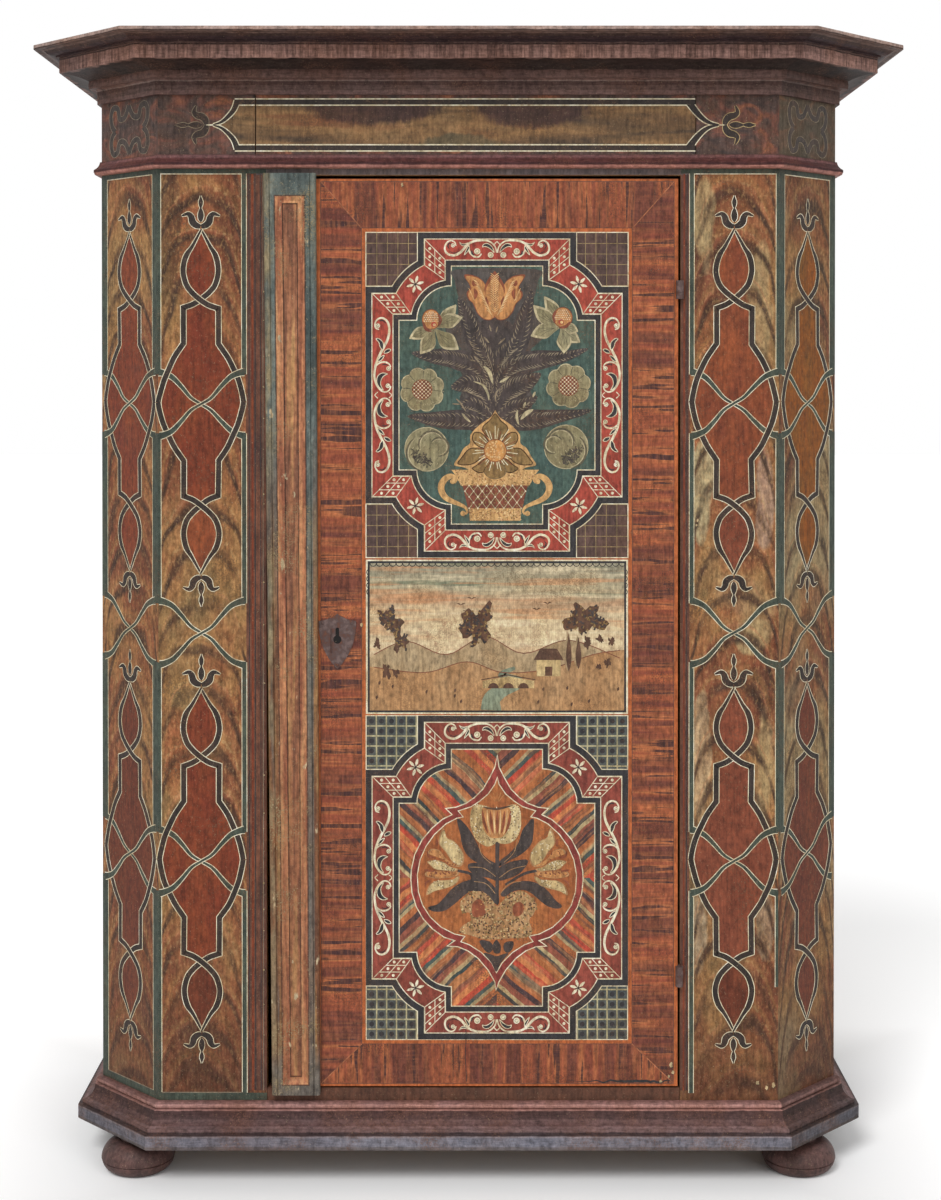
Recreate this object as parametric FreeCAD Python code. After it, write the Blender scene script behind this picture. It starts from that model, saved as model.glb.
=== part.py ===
import FreeCAD, Part
import math
import os

from FreeCAD import Vector

# One-door painted wardrobe with canted front corners, a stepped cornice and turned bun feet.
# Frame: millimetres, +Z up, front towards -Y. The origin is on the floor, in the middle of the
# overall width and depth. "Projection" or p always means the distance in front of the carcase
# face, measured square to that face; behind the face it is negative.

# ---- driving dimensions: carcase -------------------------------------------------------------
front_half_width = 516.0      # middle of the front to the edge of a cant
cant_run = 115.0              # each cant takes this much off the front and off the side
cant_angle = 45.0             # degrees
carcase_depth = 500.0
board_thickness = 22.0
back_thickness = 14.0
back_rebate = 12.0            # how far the back boards reach into the side boards
back_board_count = 5
back_lap = 10.0               # overlap of neighbouring back boards
back_board_gap = 0.5

# ---- heights, from the floor up --------------------------------------------------------------
foot_height = 62.0
plinth_height = 25.0
base_fillet_height = 8.0
base_cove_height = 24.0
base_bead_height = 12.0
bottom_rail_height = 57.0     # above the base frame
door_opening_height = 1519.5
lintel_margin = 11.5          # plain strip of the lintel under the string bead
string_height = 23.0
frieze_height = 98.5
bed_height = 50.5
crown_height = 45.0

# ---- base mouldings --------------------------------------------------------------------------
plinth_projection = 40.0
plinth_chamfer = 2.0
base_frame_inset = 35.0       # how far the base frame reaches in under the boards
base_fillet_projection = 33.0
base_cove_projection = 30.0
base_cove_top_projection = 13.0
base_cove_hollow = 5.0        # how deep the cove sinks behind its chord
base_bead_projection = 10.5
base_back_width = 90.0

# ---- string bead between door and frieze -----------------------------------------------------
string_projection = 12.0
string_top_projection = 3.0
string_nose_height = 6.0
string_under_height = 4.0
string_under_projection = 8.0

# ---- cornice ---------------------------------------------------------------------------------
bed_fascia_projection = 7.0
bed_fascia_height = 22.0
bed_ogee_projection = 15.0
bed_ogee_height = 4.0
bed_band_projection = 20.0
bed_band_height = 13.0
bed_cove_projection = 65.0
bed_cove_hollow = 2.5
crown_fascia_projection = 67.0
crown_fascia_height = 26.0
crown_fillet_projection = 72.0
crown_fillet_height = 3.0
crown_cyma_projection = 103.0
crown_cyma_height = 8.0
crown_cyma_swell = 2.0
crown_projection = 107.0
crown_edge_round = 1.5
crown_inset = 10.0            # the crown stands this far back over the boards' top ends
top_board_thickness = 18.0

# ---- front frame -----------------------------------------------------------------------------
stile_left_edge = -336.0      # edges of the stiles at the door opening
stile_right_edge = 352.5
lintel_left_seam = -353.6     # seams between the lintel and the stiles
lintel_right_seam = 377.4
seam_gap = 1.6                # the old seams have opened this far
lap_length = 50.0             # half laps of lintel and rail behind the stiles

# ---- door ------------------------------------------------------------------------------------
door_left_gap = 10.0          # free edge of the door to the left stile
door_right_gap = 4.0
door_top_gap = 6.0
door_bottom_gap = 3.0
door_proud = 1.0              # the door's face stands this far in front of the frame
door_thickness = 22.0
door_seam_x = -2.5            # glue line of its two boards
door_arris = 1.0
batten_height = 70.0
batten_thickness = 16.0
batten_dovetail = 8.0         # how deep a batten is let into the boards
batten_undercut = 3.0
batten_end_gap = 34.0         # from the end of a batten to the edge of the door
batten_bottom_rise = 175.0    # middle of the lower batten above the door's bottom edge
batten_top_drop = 265.5       # middle of the upper batten below the door's top edge

# ---- closing strip on the free edge of the door ----------------------------------------------
strip_thickness = 13.0
strip_top_left = -339.7       # the strip is wider at the top, and leans
strip_top_right = -252.7
strip_bottom_left = -326.3
strip_bottom_right = -246.4
strip_top_lap = 2.5           # over the lintel
strip_bottom_lap = 8.0        # over the bottom rail
strip_edge_round = 4.0
strip_groove_inset = 9.0
strip_groove_width = 2.0
strip_groove_depth = 1.5
panel_side_inset = 19.0
panel_top_inset = 38.0
panel_bottom_inset = 18.0
panel_slope_width = 8.0
panel_slope_depth = 4.0
panel_ledge_width = 4.0
panel_step_depth = 1.5

# ---- lock ------------------------------------------------------------------------------------
keyhole_x = -218.0
keyhole_rise = 750.0          # above the door's bottom edge
keyhole_radius = 6.8
keyhole_drop = 5.0            # centre of the round part below keyhole_z
keyhole_slot_width = 6.0
keyhole_slot_top = 12.0
keyhole_margin = 0.6          # the hole in the wood is wider than in the iron
plate_half_width = 31.0
plate_shoulder = 26.0
plate_peak = 38.0
plate_tip = 54.0
plate_thickness = 1.5
plate_saddle = 2.6            # how far the top edge sinks between shoulder and peak
plate_belly_x = 26.5
plate_belly_z = 10.0
rib_offset = 10.0
rib_width = 4.0
rib_height = 2.0
rib_length = 38.0
nail_radius = 1.2
nail_length = 14.0
nail_head_radius = 2.8
nail_head_height = 1.2
nail_inset = 7.0
lock_edge_inset = 3.0
lock_length = 150.0
lock_height = 90.0
lock_depth = 20.0
lock_wall = 2.0
bolt_head_height = 22.0
bolt_head_length = 30.0
bolt_tail_height = 14.0
bolt_tail_length = 66.0
bolt_thickness = 9.0
bolt_setback = 0.5
bolt_travel = 22.0
bolt_clearance = 0.4
bolt_rise = 19.0              # middle of the bolt above the keyhole's level
bolt_depth = 31.0             # middle of the bolt behind the carcase face
guide_x_from_head = 30.0
guide_thickness = 4.0
keep_end_gap = 10.0           # past the tip of the bolt at full travel
keep_wall = 3.5
keep_strap = 3.0
keep_margin = 0.8
keep_foot = 14.0
keep_edge_inset = 4.0

# ---- hinges ----------------------------------------------------------------------------------
hinge_proud = 8.0             # hinge axis in front of the carcase face
knuckle_radius = 6.5
pin_radius = 3.5
pin_clearance = 0.05
knuckle_gap = 0.35
pin_end_gap = 1.5
leaf_thickness = 2.0
leaf_depth = 12.0             # leaf behind the carcase face
leaf_length = 35.0
leaf_clearance = 0.2
upper_split_drop = 189.5      # joint of the upper knuckles below the door's top edge
upper_loop_height = 20.5
upper_barrel_height = 10.0
lower_split_rise = 186.5      # joint of the lower knuckles above the door's bottom edge
lower_loop_height = 15.5
lower_barrel_height = 17.5

# ---- feet ------------------------------------------------------------------------------------
foot_radius = 61.5
foot_pad_radius = 46.0
foot_groove_z = 19.0
foot_groove_width = 3.0
foot_groove_depth = 2.5
foot_bead_bulge = 3.0
foot_bun_top = 50.0
foot_bun_bulge = 9.0
foot_neck_radius = 30.0
front_foot_x = 559.0
front_foot_setback = 50.0     # from the front face to the foot's middle
rear_foot_x = 530.0
rear_foot_setback = 64.0      # from the back to the foot's middle
spigot_radius = 13.0
spigot_length = 24.0
spigot_clearance = 0.3
spigot_end_gap = 1.0

# ---- inside ----------------------------------------------------------------------------------
inside_clearance = 0.5
floor_thickness = 22.0
shelf_z = 1500.0
shelf_thickness = 18.0
shelf_depth = 340.0
cleat_width = 22.0
cleat_height = 34.0
peg_rail_length = 900.0
peg_rail_height = 80.0
peg_rail_thickness = 18.0
peg_rail_drop = 40.0          # below the shelf
peg_count = 6
peg_spacing = 150.0
peg_radius = 8.0
peg_length = 70.0
peg_head_radius = 13.0
peg_head_length = 16.0
peg_clearance = 0.2

# ---- worked-out levels and planes ------------------------------------------------------------
front_y = -(carcase_depth - crown_projection) / 2
back_y = front_y + carcase_depth
side_half_width = front_half_width + cant_run
base_frame_top = foot_height + plinth_height + base_fillet_height
base_top = base_frame_top + base_cove_height + base_bead_height
rail_top = base_frame_top + bottom_rail_height
lintel_bottom = rail_top + door_opening_height
string_bottom = lintel_bottom + lintel_margin
frieze_bottom = string_bottom + string_height
bed_bottom = frieze_bottom + frieze_height
crown_bottom = bed_bottom + bed_height
crown_top = crown_bottom + crown_height

door_left = stile_left_edge + door_left_gap
door_right = stile_right_edge - door_right_gap
door_bottom = rail_top + door_bottom_gap
door_top = lintel_bottom - door_top_gap
door_front_y = front_y - door_proud
door_back_y = door_front_y + door_thickness
strip_bottom = rail_top - strip_bottom_lap
strip_top = lintel_bottom + strip_top_lap
keyhole_z = door_bottom + keyhole_rise
bolt_axis_z = keyhole_z + bolt_rise
batten_levels = {"top": door_top - batten_top_drop, "bottom": door_bottom + batten_bottom_rise}
hinge_x = (door_right + stile_right_edge) / 2
hinge_y = front_y - hinge_proud
# name, height of the split, loop height above it, barrel height below it
hinges = [("upper", door_top - upper_split_drop, upper_loop_height, upper_barrel_height),
          ("lower", door_bottom + lower_split_rise, lower_loop_height, lower_barrel_height)]
lock_left = door_left + lock_edge_inset
inner_half_width = side_half_width - board_thickness
back_inner_y = back_y - back_thickness
frame_back_y = front_y + board_thickness

RUNS = ["side_left", "cant_left", "front", "cant_right", "side_right"]
FRONT = RUNS.index("front")
OVERRUN = 1.0                 # cutting solids run past the faces they cut by this much


# ---- helpers ---------------------------------------------------------------------------------
def box(x_low, y_low, z_low, x_high, y_high, z_high):
    size = (x_high - x_low, y_high - y_low, z_high - z_low)
    return Part.makeBox(*size, Vector(x_low, y_low, z_low))


def prism(corners, z_low, z_high):
    """Upright prism over a plan polygon of (x, y) corners."""
    points = [Vector(x, y, z_low) for x, y in corners]
    face = Part.Face(Part.makePolygon(points + points[:1]))
    return face.extrude(Vector(0, 0, z_high - z_low))


def front_wire(corners, y):
    """Closed wire through (x, z) corners, in the plane at y."""
    points = [Vector(x, y, z) for x, z in corners]
    return Part.makePolygon(points + points[:1])


def front_prism(corners, y_front, y_rear):
    """Prism over a front-view polygon of (x, z) corners."""
    face = Part.Face(front_wire(corners, y_front))
    return face.extrude(Vector(0, y_rear - y_front, 0))


def arc_mid(start, end, bulge):
    """Middle point of an arc from start to end that swells to the left of its chord by bulge."""
    run = (end[0] - start[0], end[1] - start[1])
    length = math.hypot(*run)
    normal = (-run[1] / length, run[0] / length)
    return ((start[0] + end[0]) / 2 + normal[0] * bulge, (start[1] + end[1]) / 2 + normal[1] * bulge)


def section_wire(path, place):
    """Closed wire of a section. path holds (u, v) for a straight step, or (u, v, bulge) for an arc
    step that swells to the left of its chord; place turns (u, v) into a point in space."""
    edges = []
    for step, following in zip(path, path[1:] + path[:1]):
        start, end = place(*step[:2]), place(*following[:2])
        bulge = following[2] if len(following) == 3 else 0.0
        if bulge:
            middle = place(*arc_mid(step[:2], following[:2], bulge))
            edges.append(Part.Arc(start, middle, end).toShape())
        else:
            edges.append(Part.makeLine(start, end))
    return Part.Wire(edges)


def one_solid(shape):
    """The only solid of a boolean's result, with leftover seams merged."""
    shape = shape.removeSplitter()
    if len(shape.Solids) != 1:
        raise ValueError("expected one solid, got %d" % len(shape.Solids))
    return shape.Solids[0]


def outline(p):
    """Plan corners of the carcase moved out by p, from the left back round to the right back."""
    corner_shift = p * math.tan(math.radians(cant_angle / 2))
    side_x = side_half_width + p
    cant_y = front_y + cant_run - corner_shift
    front_x = front_half_width + corner_shift
    left = [(-side_x, back_y), (-side_x, cant_y), (-front_x, front_y - p)]
    return left + [(-x, y) for x, y in reversed(left)]


def run_prism(index, p_low, p_high, z_low, z_high):
    """The stretch of one run between two projections, mitred against its neighbours."""
    inner, outer = outline(p_low), outline(p_high)
    corners = [inner[index], inner[index + 1], outer[index + 1], outer[index]]
    return prism(corners, z_low, z_high)


def moulding(index, path):
    """A mitred length of moulding along one run, from its section path of (p, z) steps."""
    (ax, ay), (bx, by) = outline(0)[index:index + 2]
    start, along = Vector(ax, ay, 0), Vector(bx - ax, by - ay, 0)
    length = along.Length
    along.normalize()
    outward = Vector(along.y, -along.x, 0)
    projections = [step[0] for step in path]
    heights = [step[1] for step in path]
    reach = max(abs(p) for p in projections) + OVERRUN
    origin = start - along * reach
    wire = section_wire(path, lambda p, z: origin + outward * p + Vector(0, 0, z))
    bar = Part.Face(wire).extrude(along * (length + 2 * reach))
    mitre = run_prism(index, min(projections) - OVERRUN, max(projections) + OVERRUN,
                      min(heights) - OVERRUN, max(heights) + OVERRUN)
    return one_solid(bar.common(mitre))


def turned(path, axis_place):
    """Solid of revolution of an (r, h) section about the line r = 0; axis_place sets it in space."""
    wire = section_wire(path, axis_place)
    base = axis_place(0, 0)
    return one_solid(Part.Face(wire).revolve(base, axis_place(0, 1) - base, 360))


def cylinder(x, y, z, radius, height, direction=Vector(0, 0, 1)):
    return Part.makeCylinder(radius, height, Vector(x, y, z), direction)


def ease(shape, radius, wanted):
    """Round the straight edges that wanted() picks by their middle point and direction."""
    picked = []
    for edge in shape.Edges:
        first, last = edge.Vertexes[0].Point, edge.Vertexes[-1].Point
        if wanted((first + last) / 2, last - first):
            picked.append(edge)
    return one_solid(shape.makeFillet(radius, picked)) if picked else shape


# ---- mouldings -------------------------------------------------------------------------------
def base_section():
    """Base frame with plinth face, fillet, cove and top bead, worked in one piece."""
    cove_bottom, cove_top = base_frame_top, base_frame_top + base_cove_height
    bead_radius = base_bead_height / 2
    bead_core = base_bead_projection - bead_radius
    return [(-base_frame_inset, foot_height),
            (plinth_projection - plinth_chamfer, foot_height),
            (plinth_projection, foot_height + plinth_chamfer),
            (plinth_projection, foot_height + plinth_height),
            (base_fillet_projection, foot_height + plinth_height),
            (base_fillet_projection, cove_bottom),
            (base_cove_projection, cove_bottom),
            (base_cove_top_projection, cove_top, base_cove_hollow),
            (bead_core, cove_top),
            (base_bead_projection, cove_top + bead_radius, -bead_radius * (1 - math.sqrt(0.5))),
            (bead_core, base_top, -bead_radius * (1 - math.sqrt(0.5))),
            (0, base_top),
            (0, base_frame_top),
            (-base_frame_inset, base_frame_top)]


def string_section():
    """Half-round string with a soft shoulder above."""
    nose_bottom = string_bottom + string_under_height
    nose_top = nose_bottom + string_nose_height
    return [(0, string_bottom),
            (string_under_projection, string_bottom),
            (string_projection, nose_bottom, -1.2),
            (string_projection, nose_top, -1.5),
            (string_top_projection, frieze_bottom, 2.0),
            (0, frieze_bottom)]


def bed_section():
    """Flat fascia, small ogee, band and a wide cove under the crown."""
    fascia_top = bed_bottom + bed_fascia_height
    ogee_top = fascia_top + bed_ogee_height
    band_top = ogee_top + bed_band_height
    return [(0, bed_bottom),
            (bed_fascia_projection, bed_bottom),
            (bed_fascia_projection, fascia_top),
            (bed_ogee_projection, ogee_top, 1.5),
            (bed_band_projection, ogee_top),
            (bed_band_projection, band_top, -1.0),
            (bed_cove_projection, crown_bottom, bed_cove_hollow),
            (0, crown_bottom)]


def crown_section():
    """Striped fascia, fillet, flat cyma and the thin top edge."""
    fascia_top = crown_bottom + crown_fascia_height
    fillet_top = fascia_top + crown_fillet_height
    cyma_top = fillet_top + crown_cyma_height
    cyma_mid_p = (crown_fillet_projection + crown_cyma_projection) / 2
    return [(-crown_inset, crown_bottom),
            (crown_fascia_projection, crown_bottom),
            (crown_fascia_projection, fascia_top),
            (crown_fillet_projection, fascia_top),
            (crown_fillet_projection, fillet_top),
            (cyma_mid_p, (fillet_top + cyma_top) / 2, -crown_cyma_swell),
            (crown_cyma_projection, cyma_top, crown_cyma_swell),
            (crown_projection, cyma_top),
            (crown_projection, crown_top - crown_edge_round),
            (crown_projection - crown_edge_round, crown_top, -crown_edge_round * (1 - math.sqrt(0.5))),
            (-crown_inset, crown_top)]


# ---- feet and base ---------------------------------------------------------------------------
def foot_places():
    return {"foot_front_left": (-front_foot_x, front_y + front_foot_setback),
            "foot_front_right": (front_foot_x, front_y + front_foot_setback),
            "foot_rear_left": (-rear_foot_x, back_y - rear_foot_setback),
            "foot_rear_right": (rear_foot_x, back_y - rear_foot_setback)}


def foot(x, y):
    """Turned bun foot with a bead under its groove, a short neck and a spigot."""
    groove_low = foot_groove_z - foot_groove_width / 2
    groove_high = foot_groove_z + foot_groove_width / 2
    groove_radius = foot_radius - foot_groove_depth
    path = [(0, 0), (foot_pad_radius, 0),
            (foot_radius - 1, groove_low, -foot_bead_bulge),
            (groove_radius, foot_groove_z), (foot_radius, groove_high),
            (foot_neck_radius, foot_bun_top, -foot_bun_bulge),
            (foot_neck_radius, foot_height), (spigot_radius, foot_height),
            (spigot_radius, foot_height + spigot_length), (0, foot_height + spigot_length)]
    return turned(path, lambda r, h: Vector(x + r, y, h))


def spigot_hole(x, y):
    depth = spigot_length + spigot_end_gap + OVERRUN
    return cylinder(x, y, foot_height - OVERRUN, spigot_radius + spigot_clearance, depth)


def base_parts():
    holes = {name: spigot_hole(*place) for name, place in foot_places().items()}
    parts = {"base_" + name: moulding(i, base_section()) for i, name in enumerate(RUNS)}
    parts["base_cant_left"] = one_solid(parts["base_cant_left"].cut(holes["foot_front_left"]))
    parts["base_cant_right"] = one_solid(parts["base_cant_right"].cut(holes["foot_front_right"]))
    half_length = side_half_width - base_frame_inset
    rear = box(-half_length, back_y - base_back_width, foot_height, half_length, back_y, base_frame_top)
    rear = rear.cut(holes["foot_rear_left"]).cut(holes["foot_rear_right"])
    parts["base_back"] = one_solid(rear)
    return parts


# ---- carcase boards --------------------------------------------------------------------------
def lapped_rail(x_left, x_right, z_low, z_high):
    """Cross rail with its full thickness between the stiles and half-thickness laps behind them."""
    middle_y = front_y + board_thickness / 2
    body = box(x_left, front_y, z_low, x_right, frame_back_y, z_high)
    laps = box(x_left - lap_length, middle_y, z_low, x_right + lap_length, frame_back_y, z_high)
    return one_solid(body.fuse(laps))


def front_frame():
    """Two stiles, the lintel that carries the frieze, and the bottom rail."""
    half_gap = seam_gap / 2
    lintel = lapped_rail(lintel_left_seam + half_gap, lintel_right_seam - half_gap,
                         lintel_bottom, crown_bottom)
    rail = lapped_rail(stile_left_edge + half_gap, stile_right_edge - half_gap,
                       base_frame_top, rail_top)
    whole = run_prism(FRONT, -board_thickness, 0, base_frame_top, crown_bottom)
    far = side_half_width
    lintel_room = box(lintel_left_seam - half_gap, front_y - OVERRUN, lintel_bottom - half_gap,
                      lintel_right_seam + half_gap, frame_back_y + OVERRUN, crown_bottom + OVERRUN)
    parts = {"frieze_rail": lintel, "bottom_rail": rail}
    for name, x_low, x_high in (("stile_left", -far, stile_left_edge),
                                ("stile_right", stile_right_edge, far)):
        zone = box(x_low, front_y - OVERRUN, 0, x_high, frame_back_y + OVERRUN, crown_top)
        stile = whole.common(zone).cut(lintel_room).cut(lintel).cut(rail)
        parts[name] = one_solid(stile)
    parts["stile_right"] = one_solid(parts["stile_right"].cut(leaf_slots(+1)))
    return parts


def case_boards():
    parts = {}
    for side in ("left", "right"):
        cant = RUNS.index("cant_" + side)
        parts["cant_board_" + side] = one_solid(
            run_prism(cant, -board_thickness, 0, base_frame_top, crown_bottom))
        flank = run_prism(RUNS.index("side_" + side), -board_thickness, 0, base_frame_top, crown_bottom)
        rebate_x = inner_half_width + back_rebate
        rebate = box(-rebate_x, back_inner_y, base_frame_top - OVERRUN,
                     rebate_x, back_y + OVERRUN, crown_bottom + OVERRUN)
        parts["side_board_" + side] = one_solid(flank.cut(rebate))
    return parts


def back_boards():
    """Upright boards, half lapped on their long edges."""
    half_width = inner_half_width + back_rebate - inside_clearance
    pitch = 2 * half_width / back_board_count
    middle_y = back_inner_y + back_thickness / 2
    boards = []
    for i in range(back_board_count):
        left = -half_width + i * pitch
        right = left + pitch
        outer_left = left + (back_board_gap if i else 0)
        inner_right = right - (back_board_gap if i < back_board_count - 1 else 0)
        lap = back_lap if i < back_board_count - 1 else 0
        lap_before = back_lap if i else 0
        corners = [(outer_left + lap_before, back_inner_y), (inner_right + lap, back_inner_y),
                   (inner_right + lap, middle_y), (inner_right, middle_y), (inner_right, back_y),
                   (outer_left, back_y), (outer_left, middle_y), (outer_left + lap_before, middle_y)]
        boards.append(prism(drop_repeats(corners), base_frame_top, crown_bottom))
    return Part.makeCompound([one_solid(board) for board in boards])


def drop_repeats(corners):
    """The polygon's corners without those that repeat the one before."""
    return [c for i, c in enumerate(corners) if math.dist(c, corners[i - 1]) > 1e-6]


def floor_board():
    inner = outline(-(board_thickness + inside_clearance))
    rear_y = back_inner_y - inside_clearance
    corners = [(inner[0][0], rear_y)] + inner[1:5] + [(inner[5][0], rear_y)]
    return prism(corners, base_frame_top, base_frame_top + floor_thickness)


def top_board():
    return prism(outline(-crown_inset), crown_bottom, crown_bottom + top_board_thickness)


# ---- inside ----------------------------------------------------------------------------------
def inside_parts():
    half_width = inner_half_width - inside_clearance
    front_edge = back_inner_y - shelf_depth
    shelf = box(-half_width, front_edge, shelf_z, half_width, back_inner_y, shelf_z + shelf_thickness)
    cleats = [box(side * inner_half_width - (cleat_width if side > 0 else 0), front_edge + cleat_width,
                  shelf_z - cleat_height,
                  side * inner_half_width + (cleat_width if side < 0 else 0), back_inner_y, shelf_z)
              for side in (-1, 1)]
    rail_z = shelf_z - peg_rail_drop - peg_rail_height
    rail = box(-peg_rail_length / 2, back_inner_y - peg_rail_thickness, rail_z,
               peg_rail_length / 2, back_inner_y, rail_z + peg_rail_height)
    peg_z = rail_z + peg_rail_height / 2
    pegs = []
    for i in range(peg_count):
        x = (i - (peg_count - 1) / 2) * peg_spacing
        rail = rail.cut(cylinder(x, back_inner_y - peg_rail_thickness - OVERRUN, peg_z,
                                 peg_radius + peg_clearance, peg_rail_thickness + 2 * OVERRUN,
                                 Vector(0, 1, 0)))
        pegs.append(peg(x, peg_z))
    return {"hat_shelf": shelf, "shelf_cleats": Part.makeCompound(cleats),
            "peg_rail": one_solid(rail), "pegs": Part.makeCompound(pegs)}


def peg(x, z):
    """Turned peg: a shank through the rail and a rounded head."""
    head_start = peg_rail_thickness + peg_length - peg_head_length
    path = [(0, 0), (peg_radius, 0), (peg_radius, head_start),
            (peg_head_radius, head_start + peg_head_length / 2, -1.5),
            (peg_radius, head_start + peg_head_length, -2.5), (0, head_start + peg_head_length)]
    return turned(path, lambda r, h: Vector(x + r, back_inner_y - h, z))


# ---- hinges ----------------------------------------------------------------------------------
def leaf(z_low, z_high, side, margin=0.0):
    """Cranked leaf: a neck back through the gap, then a plate let into the wood.
    side is -1 for the door and +1 for the stile."""
    half = leaf_thickness / 2
    plate_y = front_y + leaf_depth
    neck = box(hinge_x - half, hinge_y, z_low, hinge_x + half, plate_y, z_high)
    plate_end = hinge_x + side * (door_right_gap / 2 + leaf_length + margin)
    plate_start = hinge_x - side * half
    plate = box(min(plate_start, plate_end), plate_y - leaf_thickness - margin, z_low - margin,
                max(plate_start, plate_end), plate_y + margin, z_high + margin)
    return neck, plate


def leaf_slots(side):
    """Slots for the plates in the door's edge (-1) or the stile's edge (+1)."""
    slots = []
    for _, split, loop_height, barrel_height in hinges:
        low, high = (split + knuckle_gap, split + loop_height) if side < 0 else (split - barrel_height, split)
        slots.append(leaf(low, high, side, leaf_clearance)[1])
    return slots[0].fuse(slots[1:])


def hinge_parts():
    parts = {}
    for name, split, loop_height, barrel_height in hinges:
        low, high = split + knuckle_gap, split + loop_height
        barrel = cylinder(hinge_x, hinge_y, low, knuckle_radius, high - low)
        neck, plate = leaf(low, high, -1)
        bore = cylinder(hinge_x, hinge_y, low - OVERRUN, pin_radius + pin_clearance,
                        high - low + 2 * OVERRUN)
        parts["hinge_loop_" + name] = one_solid(barrel.fuse([neck, plate]).cut(bore))
        low, high = split - barrel_height, split
        barrel = cylinder(hinge_x, hinge_y, low, knuckle_radius, high - low)
        pin = cylinder(hinge_x, hinge_y, high, pin_radius, loop_height - pin_end_gap)
        parts["hinge_pintle_" + name] = one_solid(barrel.fuse([pin, *leaf(low, high, +1)]))
    return parts


# ---- door ------------------------------------------------------------------------------------
def keyhole(margin, y_front, y_rear):
    """Drop-shaped keyhole, wide part below."""
    depth = y_rear - y_front
    centre_z = keyhole_z - keyhole_drop
    half_slot = keyhole_slot_width / 2 + margin
    round_part = cylinder(keyhole_x, y_front, centre_z, keyhole_radius + margin, depth, Vector(0, 1, 0))
    slot = box(keyhole_x - half_slot, y_front, centre_z,
               keyhole_x + half_slot, y_rear, keyhole_z + keyhole_slot_top)
    top = cylinder(keyhole_x, y_front, keyhole_z + keyhole_slot_top, half_slot, depth, Vector(0, 1, 0))
    return round_part.fuse([slot, top])


def batten(z_middle, margin=0.0):
    """Batten across the back of the door, dovetailed into the boards."""
    half = batten_height / 2 + margin
    waist = half - batten_undercut
    bottom_y = door_back_y - batten_dovetail - margin
    rear_y = door_back_y + (batten_thickness if margin == 0 else OVERRUN)
    x_low, x_high = door_left + batten_end_gap - margin, door_right - batten_end_gap + margin
    tail = [(bottom_y, z_middle - half), (bottom_y, z_middle + half),
            (door_back_y, z_middle + waist), (rear_y, z_middle + waist),
            (rear_y, z_middle - waist), (door_back_y, z_middle - waist)]
    points = [Vector(x_low, y, z) for y, z in tail]
    face = Part.Face(Part.makePolygon(points + points[:1]))
    return one_solid(face.extrude(Vector(x_high - x_low, 0, 0)))


def door_parts():
    grooves = [batten(z, inside_clearance / 2) for z in batten_levels.values()]
    left = box(door_left, door_front_y, door_bottom, door_seam_x, door_back_y, door_top)
    right = box(door_seam_x, door_front_y, door_bottom, door_right, door_back_y, door_top)
    outer_edge = lambda middle, run: (abs(run.z) > 1 and abs(middle.x - door_seam_x) > 1
                                      and middle.y < door_front_y + 1)
    left, right = ease(left, door_arris, outer_edge), ease(right, door_arris, outer_edge)
    hole = keyhole(keyhole_margin, door_front_y - OVERRUN, door_back_y + OVERRUN)
    parts = {"door_board_left": one_solid(left.cut(grooves).cut(hole)),
             "door_board_right": one_solid(right.cut(grooves).cut(leaf_slots(-1)))}
    for name, z in batten_levels.items():
        parts["door_batten_" + name] = batten(z)
    return parts


def strip_corners(side_inset, top_inset=0.0, bottom_inset=0.0):
    """Corners (x, z) of the leaning strip's face, moved in from its edges."""
    height = strip_top - strip_bottom
    lean_left = (strip_top_left - strip_bottom_left) / height
    lean_right = (strip_top_right - strip_bottom_right) / height
    low, high = bottom_inset, height - top_inset
    return [(strip_bottom_left + lean_left * low + side_inset, strip_bottom + low),
            (strip_bottom_right + lean_right * low - side_inset, strip_bottom + low),
            (strip_bottom_right + lean_right * high - side_inset, strip_bottom + high),
            (strip_bottom_left + lean_left * high + side_inset, strip_bottom + high)]


def strip_sink(inset, width, depth, y_face):
    """Sloping-sided sinking in the strip's face: inset and width are measured across the strip."""
    rise = OVERRUN / depth * width
    rims = []
    for sink, y in ((-rise, y_face - OVERRUN), (width, y_face + depth)):
        rims.append(front_wire(strip_corners(panel_side_inset + inset + sink,
                                             panel_top_inset + inset + sink,
                                             panel_bottom_inset + inset + sink), y))
    return Part.makeLoft(rims, True, True)


def closing_strip():
    """Tapered strip over the door's free edge, with side grooves and a sunk panel."""
    face_y = door_front_y - strip_thickness
    body = one_solid(front_prism(strip_corners(0), face_y, door_front_y))
    body = ease(body, strip_edge_round,
                lambda middle, run: abs(run.z) > strip_thickness and middle.y < face_y + 1)
    body = body.cut(strip_sink(0, panel_slope_width, panel_slope_depth, face_y))
    floor_y = face_y + panel_slope_depth
    step_inset = panel_slope_width + panel_ledge_width
    step = strip_corners(panel_side_inset + step_inset, panel_top_inset + step_inset,
                         panel_bottom_inset + step_inset)
    body = body.cut(front_prism(step, floor_y - OVERRUN, floor_y + panel_step_depth))
    for inset_low in (strip_groove_inset, -strip_groove_inset - strip_groove_width):
        body = body.cut(side_groove(inset_low, face_y))
    return one_solid(body)


def side_groove(inset, face_y):
    """V-groove along one long edge of the strip; a negative inset counts from the right edge."""
    corners = strip_corners(0, -OVERRUN, -OVERRUN)
    (low_x, low_z), (high_x, high_z) = (corners[0], corners[3]) if inset > 0 else (corners[1], corners[2])
    half, rise = strip_groove_width / 2, OVERRUN / strip_groove_depth
    ends = []
    for x, z in ((low_x, low_z), (high_x, high_z)):
        middle = x + inset + half
        corners = [Vector(middle, face_y + strip_groove_depth, z),
                   Vector(middle - half * (1 + rise), face_y - OVERRUN, z),
                   Vector(middle + half * (1 + rise), face_y - OVERRUN, z)]
        ends.append(Part.makePolygon(corners + corners[:1]))
    return Part.makeLoft(ends, True, True)


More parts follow.
